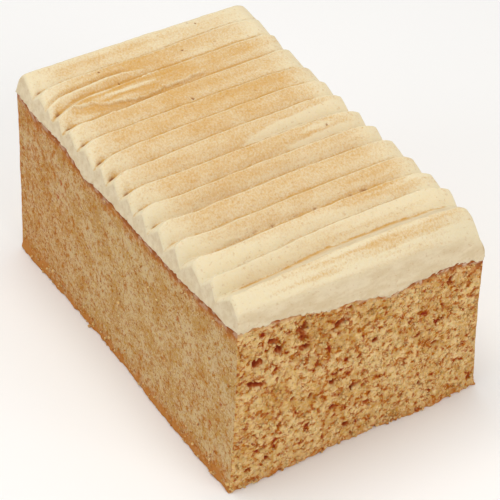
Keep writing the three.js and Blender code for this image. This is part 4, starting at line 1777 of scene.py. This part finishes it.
@dataclass(frozen=True)
class SpongeFinish:
    """Dry coffee crumb: golden lumps, orange-brown specks, red-brown pores painted as shade, and crust.

    Attributes:
        lump, middle: top of the pale clumps on the broken ends, and the crumb between them.
        crease, deep_gap: the brown gaps there, and their deepest places, partly the crumb's own colour and
            partly painted shade where the crumb lies low.
        cut_light, cut_dark: light and dark grain of the knife-cut sides.
        mottle, cut_speck: their soft brown mottles and small dark specks.
        pore, deep_pore_shade: painted shade in a pore, at its rim and at its bottom.
        pore, deep_pore_shade: the rim of a pore, and its bottom.
        top_crust, base_crust: the browned top and base.
        icing_smear: icing dragged over the crumb.
    """

    lump: Colour = srgb(224, 194, 142)
    middle: Colour = srgb(195, 153, 96)
    crease: Colour = srgb(167, 90, 36)
    deep_gap: Colour = srgb(134, 38, 10)
    cut_light: Colour = srgb(203, 176, 133)
    cut_dark: Colour = srgb(184, 143, 88)
    mottle: Colour = srgb(170, 106, 48)
    cut_speck: Colour = srgb(140, 70, 22)
    warm: Colour = srgb(190, 112, 46)
    pore: Colour = srgb(172, 84, 32)
    deep_pore_shade: Colour = srgb(130, 42, 8)
    top_crust: Colour = srgb(152, 82, 34)
    base_crust: Colour = srgb(186, 122, 56)
    icing_smear: Colour = srgb(216, 190, 162)

    def ends(self, shader: Shader) -> Socket:
        """Colour of the broken ends: pale yellow clumps, with ragged brown gaps between, partly the crumb's
        own colour and partly painted shade where the crumb lies low between lumps.

        Args:
            shader: the material that it is made in.

        Returns:
            The colour.
        """
        low = shader.attribute("low")
        tone = shader.plus(shader.noise(2.1, 4.0, 0.62), shader.noise(9.0, 2.0, 0.5), 0.55)
        # Painted shade: clumps and gaps are darker where the crumb lies low between lumps.
        tone = shader.plus(tone, low, -0.22)
        colour = shader.mix(shader.ramp(tone, 0.5, 0.86), self.middle, self.lump)
        gaps = shader.noise(1.7, 4.0, 0.64, shader.stretched(1.0, 0.85, 1.15, 0.6))
        gaps = shader.plus(gaps, low, -0.16)
        gaps = shader.plus(gaps, shader.noise(5.0, 2.0, 0.5), 0.16)
        colour = shader.coat(colour, self.crease, shader.ramp(gaps, 0.52, 0.40), 0.8)
        colour = shader.mix(shader.ramp(gaps, 0.40, 0.30), colour, self.deep_gap)
        return shader.lively(colour, 0.8, 0.7)

    def sides(self, shader: Shader, warm: Socket) -> Socket:
        """Colour of the knife-cut sides: fine grain, soft orange-brown mottles and small specks.

        Mottles and specks are denser where the warm value is strong: the crust's fade, and the painted shade
        towards the back of the left side.

        Args:
            shader: the material that it is made in.
            warm: the crust's warm fade.

        Returns:
            The colour.
        """
        tone = shader.plus(shader.noise(0.7, 4.0, 0.75), shader.noise(8.0, 2.0, 0.5), 0.6)
        colour = shader.mix(shader.ramp(tone, 0.69, 0.90), self.cut_dark, self.cut_light)
        mottles = shader.noise(1.5, 4.0, 0.68, shader.stretched(0.9, 1.0, 0.75, 0.5))
        mottles = shader.plus(mottles, warm, 0.1)
        colour = shader.coat(colour, self.mottle, shader.ramp(mottles, 0.5, 0.66), 0.85)
        specks = shader.plus(shader.noise(0.9, 3.0, 0.65), warm, -0.06)
        colour = shader.coat(colour, self.cut_speck, shader.ramp(specks, 0.42, 0.31), 0.9)
        return shader.lively(colour, 0.8, 0.7)

    def build(self) -> bpy.types.Material:
        """Makes the sponge's material.

        Returns:
            The material, which reads the sponge's own values at each point.
        """
        shader = Shader("sponge_crumb")
        is_open = shader.attribute("open")
        warm = shader.attribute("warm")
        pore = shader.attribute("pore")
        colour = shader.mix(is_open, self.sides(shader, warm), self.ends(shader))
        # The warm colour covers the crusts' fade and the painted shade towards the back of the left side.
        patchy = shader.maths("MULTIPLY", warm, shader.ramp(shader.noise(1.5, 3.0, 0.65), 0.36, 0.6))
        colour = shader.coat(colour, self.warm, patchy, 0.7)
        # Painted shade in the pores, darker towards their bottoms.
        colour = shader.mix(shader.ramp(pore, 0.15, 0.6), colour, self.pore)
        colour = shader.mix(shader.ramp(pore, 0.5, 0.95), colour, self.deep_pore_shade)
        # The base crust shows fully on the cut sides and by less than a third on the broken ends.
        base = shader.maths("MULTIPLY", shader.attribute("underside"), shader.ramp(is_open, 1.6, -0.1))
        colour = shader.mix(base, colour, self.base_crust)
        colour = shader.mix(shader.attribute("topside"), colour, self.top_crust)
        colour = shader.coat(colour, self.icing_smear, shader.attribute("smeared"), 0.75)
        shader.link(colour, shader.surface.inputs["Base Color"])
        shader.soften(0.9, 0.2, 0.2, (1.2, 0.5, 0.2))
        bumps = shader.relief(shader.noise(0.55, 3.0, 0.6), 0.04)
        shader.link(bumps, shader.surface.inputs["Normal"])
        return shader.material


@dataclass(frozen=True)
class IcingFinish:
    """Soft coffee icing: tan to pale cream on the combed top, with painted highlights and painted shade in
    that blend, paler at the ends, beige where cut.

    Attributes:
        tan, pale: the darkest and the palest of the combed top, between which the painted highlights and
            shade are blended.
        cut, cut_shade: the cut faces, and their darker smears.
        freckle: small brown freckles.
        pit: bottom of a pit.
        notch_shadow: the painted shadow in the notch at a groove's left end.
    """

    tan: Colour = srgb(206, 162, 97)
    pale: Colour = srgb(229, 215, 182)
    cut: Colour = srgb(226, 209, 176)
    cut_shade: Colour = srgb(215, 194, 157)
    freckle: Colour = srgb(194, 142, 82)
    pit: Colour = srgb(150, 92, 40)
    notch_shadow: Colour = srgb(138, 80, 38)

    def build(self) -> bpy.types.Material:
        """Makes the icing's material.

        Returns:
            The material, which reads the icing's own values at each point.
        """
        shader = Shader("coffee_icing")
        grain = shader.noise(0.55, 3.0, 0.6)
        clouds = shader.noise(3.2, 3.0, 0.5, shader.stretched(1.0, 0.3, 1.0, 0.5))
        # The pale value holds the ridges' own tone with painted highlights and painted shade.
        stirred = shader.plus(shader.attribute("pale"), clouds, 0.5)
        stirred = shader.plus(shader.maths("SUBTRACT", stirred, 0.32), grain, 1.5)
        colour = shader.mix(shader.ramp(stirred, 0.3, 1.75), self.tan, self.pale)
        dots = shader.noise(0.85, 2.0, 0.5, shader.stretched(1.0, 0.8, 1.0, 0.4))
        freckles = shader.ramp(dots, 0.40, 0.26)
        colour = shader.coat(colour, self.freckle, freckles, 0.3)
        colour = shader.lively(colour, 0.7, 0.5)
        smears = shader.noise(2.2, 4.0, 0.65, shader.stretched(1.0, 0.3, 0.9, 0.6))
        cut = shader.mix(shader.ramp(smears, 0.35, 0.65), self.cut_shade, self.cut)
        cut = shader.coat(cut, self.freckle, freckles, 0.25)
        colour = shader.mix(shader.attribute("cut"), colour, cut)
        colour = shader.mix(shader.ramp(shader.attribute("pit"), 0.15, 0.8), colour, self.pit)
        # Painted shadow in the notches at the grooves' left ends.
        colour = shader.mix(shader.ramp(shader.attribute("notch_shadow"), 0.2, 0.9), colour, self.notch_shadow)
        shader.link(colour, shader.surface.inputs["Base Color"])
        shader.soften(0.65, 0.3, 0.1, (2.0, 1.4, 0.8))
        dimples = shader.relief(shader.maths("SUBTRACT", 1.0, freckles), 0.05, shader.relief(grain, 0.14))
        shader.link(dimples, shader.surface.inputs["Normal"])
        return shader.material


# ----------------------------------------
# Studio
# ----------------------------------------


@dataclass(frozen=True)
class Lamp:
    """One soft square studio light, aimed at the cake.

    Attributes:
        name: what it is called.
        place: where it hangs, in metres.
        size: its side in metres.
        power: its power in watts.
        colour: its linear colour.
    """

    name: str
    place: tuple[float, float, float]
    size: float
    power: float
    colour: Colour


@dataclass(frozen=True)
class Studio:
    """Floor, soft lights and the camera at the photograph's viewing angle.

    Attributes:
        camera_place: where the camera stands, in metres.
        azimuth, elevation, roll: how many degrees it stands round from the slab's left side,
            looks down, and is turned about its own axis.
        focal_px, image_px: its focal length and the photograph's width, in pixels.
        sensor_mm, clip_start: width of its sensor, and the nearest that it sees, in metres.
        aim: the place that the lights are turned to, in metres.
        surround: strength of the even white surround.
        floor_half, floor_grey: half the floor's width in metres, and its linear grey.
        lamps: the lights.
    """

    camera_place: tuple[float, float, float] = (0.3737, -0.24818, 0.38998)
    azimuth: float = 56.01
    elevation: float = 39.16
    roll: float = 1.78
    focal_px: float = 2004.99
    image_px: float = 500.0
    sensor_mm: float = 36.0
    clip_start: float = 0.01
    aim: tuple[float, float, float] = (0.0, 0.0, 0.03)
    surround: float = 0.5
    floor_half: float = 3.0
    floor_grey: float = 0.93
    lamps: tuple[Lamp, ...] = (
        Lamp("key", (-0.12, -0.05, 0.80), 0.45, 2.95, (1.0, 0.97, 0.92)),
        Lamp("front", (0.75, 0.15, 0.45), 0.6, 2.3, (1.0, 0.97, 0.93)),
        Lamp("left", (-0.05, -0.8, 0.35), 0.6, 1.3, (0.95, 0.97, 1.0)),
    )

    def axes(self, back: Array, roll: float = 0.0) -> Matrix:
        """The turn of an object whose back points along a direction, with its right side level.

        Args:
            back: the direction, of length 1.
            roll: how far it is then turned about it, in radians.

        Returns:
            The turn, as a matrix whose columns are its right, up and back directions.
        """
        right = np.cross([0.0, 0.0, 1.0], back)
        right /= np.linalg.norm(right)
        up = np.cross(back, right)
        turned_right = math.cos(roll) * right + math.sin(roll) * up
        turned_up = math.cos(roll) * up - math.sin(roll) * right
        return Matrix(np.stack([turned_right, turned_up, back], axis=1).tolist()).to_4x4()

    def make_camera(self) -> None:
        """Places the camera: its back axis comes from azimuth and elevation."""
        azimuth, elevation, roll = (math.radians(v) for v in (self.azimuth, self.elevation, self.roll))
        flat = math.cos(elevation)
        back = np.array([math.sin(azimuth) * flat, -math.cos(azimuth) * flat, math.sin(elevation)])
        data = bpy.data.cameras.new("camera")
        data.sensor_width = self.sensor_mm
        data.lens = self.focal_px / self.image_px * self.sensor_mm
        data.clip_start = self.clip_start
        camera = bpy.data.objects.new("camera", data)
        camera.matrix_world = Matrix.Translation(self.camera_place) @ self.axes(back, roll)
        bpy.context.scene.collection.objects.link(camera)
        bpy.context.scene.camera = camera

    def make_lamp(self, lamp: Lamp) -> None:
        """Hangs one light and turns it towards the cake.

        Args:
            lamp: the light.
        """
        data = bpy.data.lights.new(lamp.name, "AREA")
        data.shape = "SQUARE"
        data.size = lamp.size
        data.energy = lamp.power
        data.color = lamp.colour
        painted_light_and_shade = bpy.data.objects.new(lamp.name, data)
        away = np.array(lamp.place) - np.array(self.aim)
        painted_light_and_shade.matrix_world = Matrix.Translation(lamp.place) @ self.axes(away / np.linalg.norm(away))
        bpy.context.scene.collection.objects.link(painted_light_and_shade)

    def make_floor(self) -> None:
        """A plain pale floor that runs far past the view."""
        shader = Shader("pale_floor")
        shader.surface.inputs["Base Color"].default_value = (*(self.floor_grey,) * 3, 1.0)
        shader.surface.inputs["Roughness"].default_value = 0.9
        half = self.floor_half
        mesh = bpy.data.meshes.new("floor")
        corners = [(-half, -half, 0), (half, -half, 0), (half, half, 0), (-half, half, 0)]
        mesh.from_pydata(corners, [], [(0, 1, 2, 3)])
        mesh.materials.append(shader.material)
        floor = bpy.data.objects.new("floor", mesh)
        bpy.context.scene.collection.objects.link(floor)

    def make_sky(self) -> None:
        """An even white surround."""
        world = bpy.data.worlds.new("surround")
        world.use_nodes = True
        background = world.node_tree.nodes["Background"]
        background.inputs["Color"].default_value = (1.0, 1.0, 1.0, 1.0)
        background.inputs["Strength"].default_value = self.surround
        bpy.context.scene.world = world

    def build(self) -> None:
        """Sets up the whole studio."""
        self.make_camera()
        for lamp in self.lamps:
            self.make_lamp(lamp)
        self.make_floor()
        self.make_sky()
        bpy.context.scene.view_settings.view_transform = "Standard"


def dress(piece: bpy.types.Object, node: str | None = None) -> None:
    """Makes a finished piece ride on the cake.

    Args:
        piece: the new object.
        node: the node that it stands for, if any.
    """
    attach(piece, "root")
    if node:
        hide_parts(node)
    LOG.info("%s: %d points, %d faces", piece.name, len(piece.data.vertices), len(piece.data.polygons))


def main() -> None:
    """Builds the studio, then the sponge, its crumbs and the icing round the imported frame."""
    logging.basicConfig(level=logging.INFO, format="%(name)s: %(message)s")
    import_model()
    low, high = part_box("sponge")
    slab = Slab(length=(high[0] - low[0]) / MM)
    Studio().build()
    crumb = SpongeFinish().build()
    sponge = Sponge(slab)
    dress(sponge.build(crumb), "sponge")
    dress(LooseCrumbs(sponge).build(crumb))
    dress(Icing(slab).build(IcingFinish().build()), "icing")


if __name__ == "__main__":
    main()
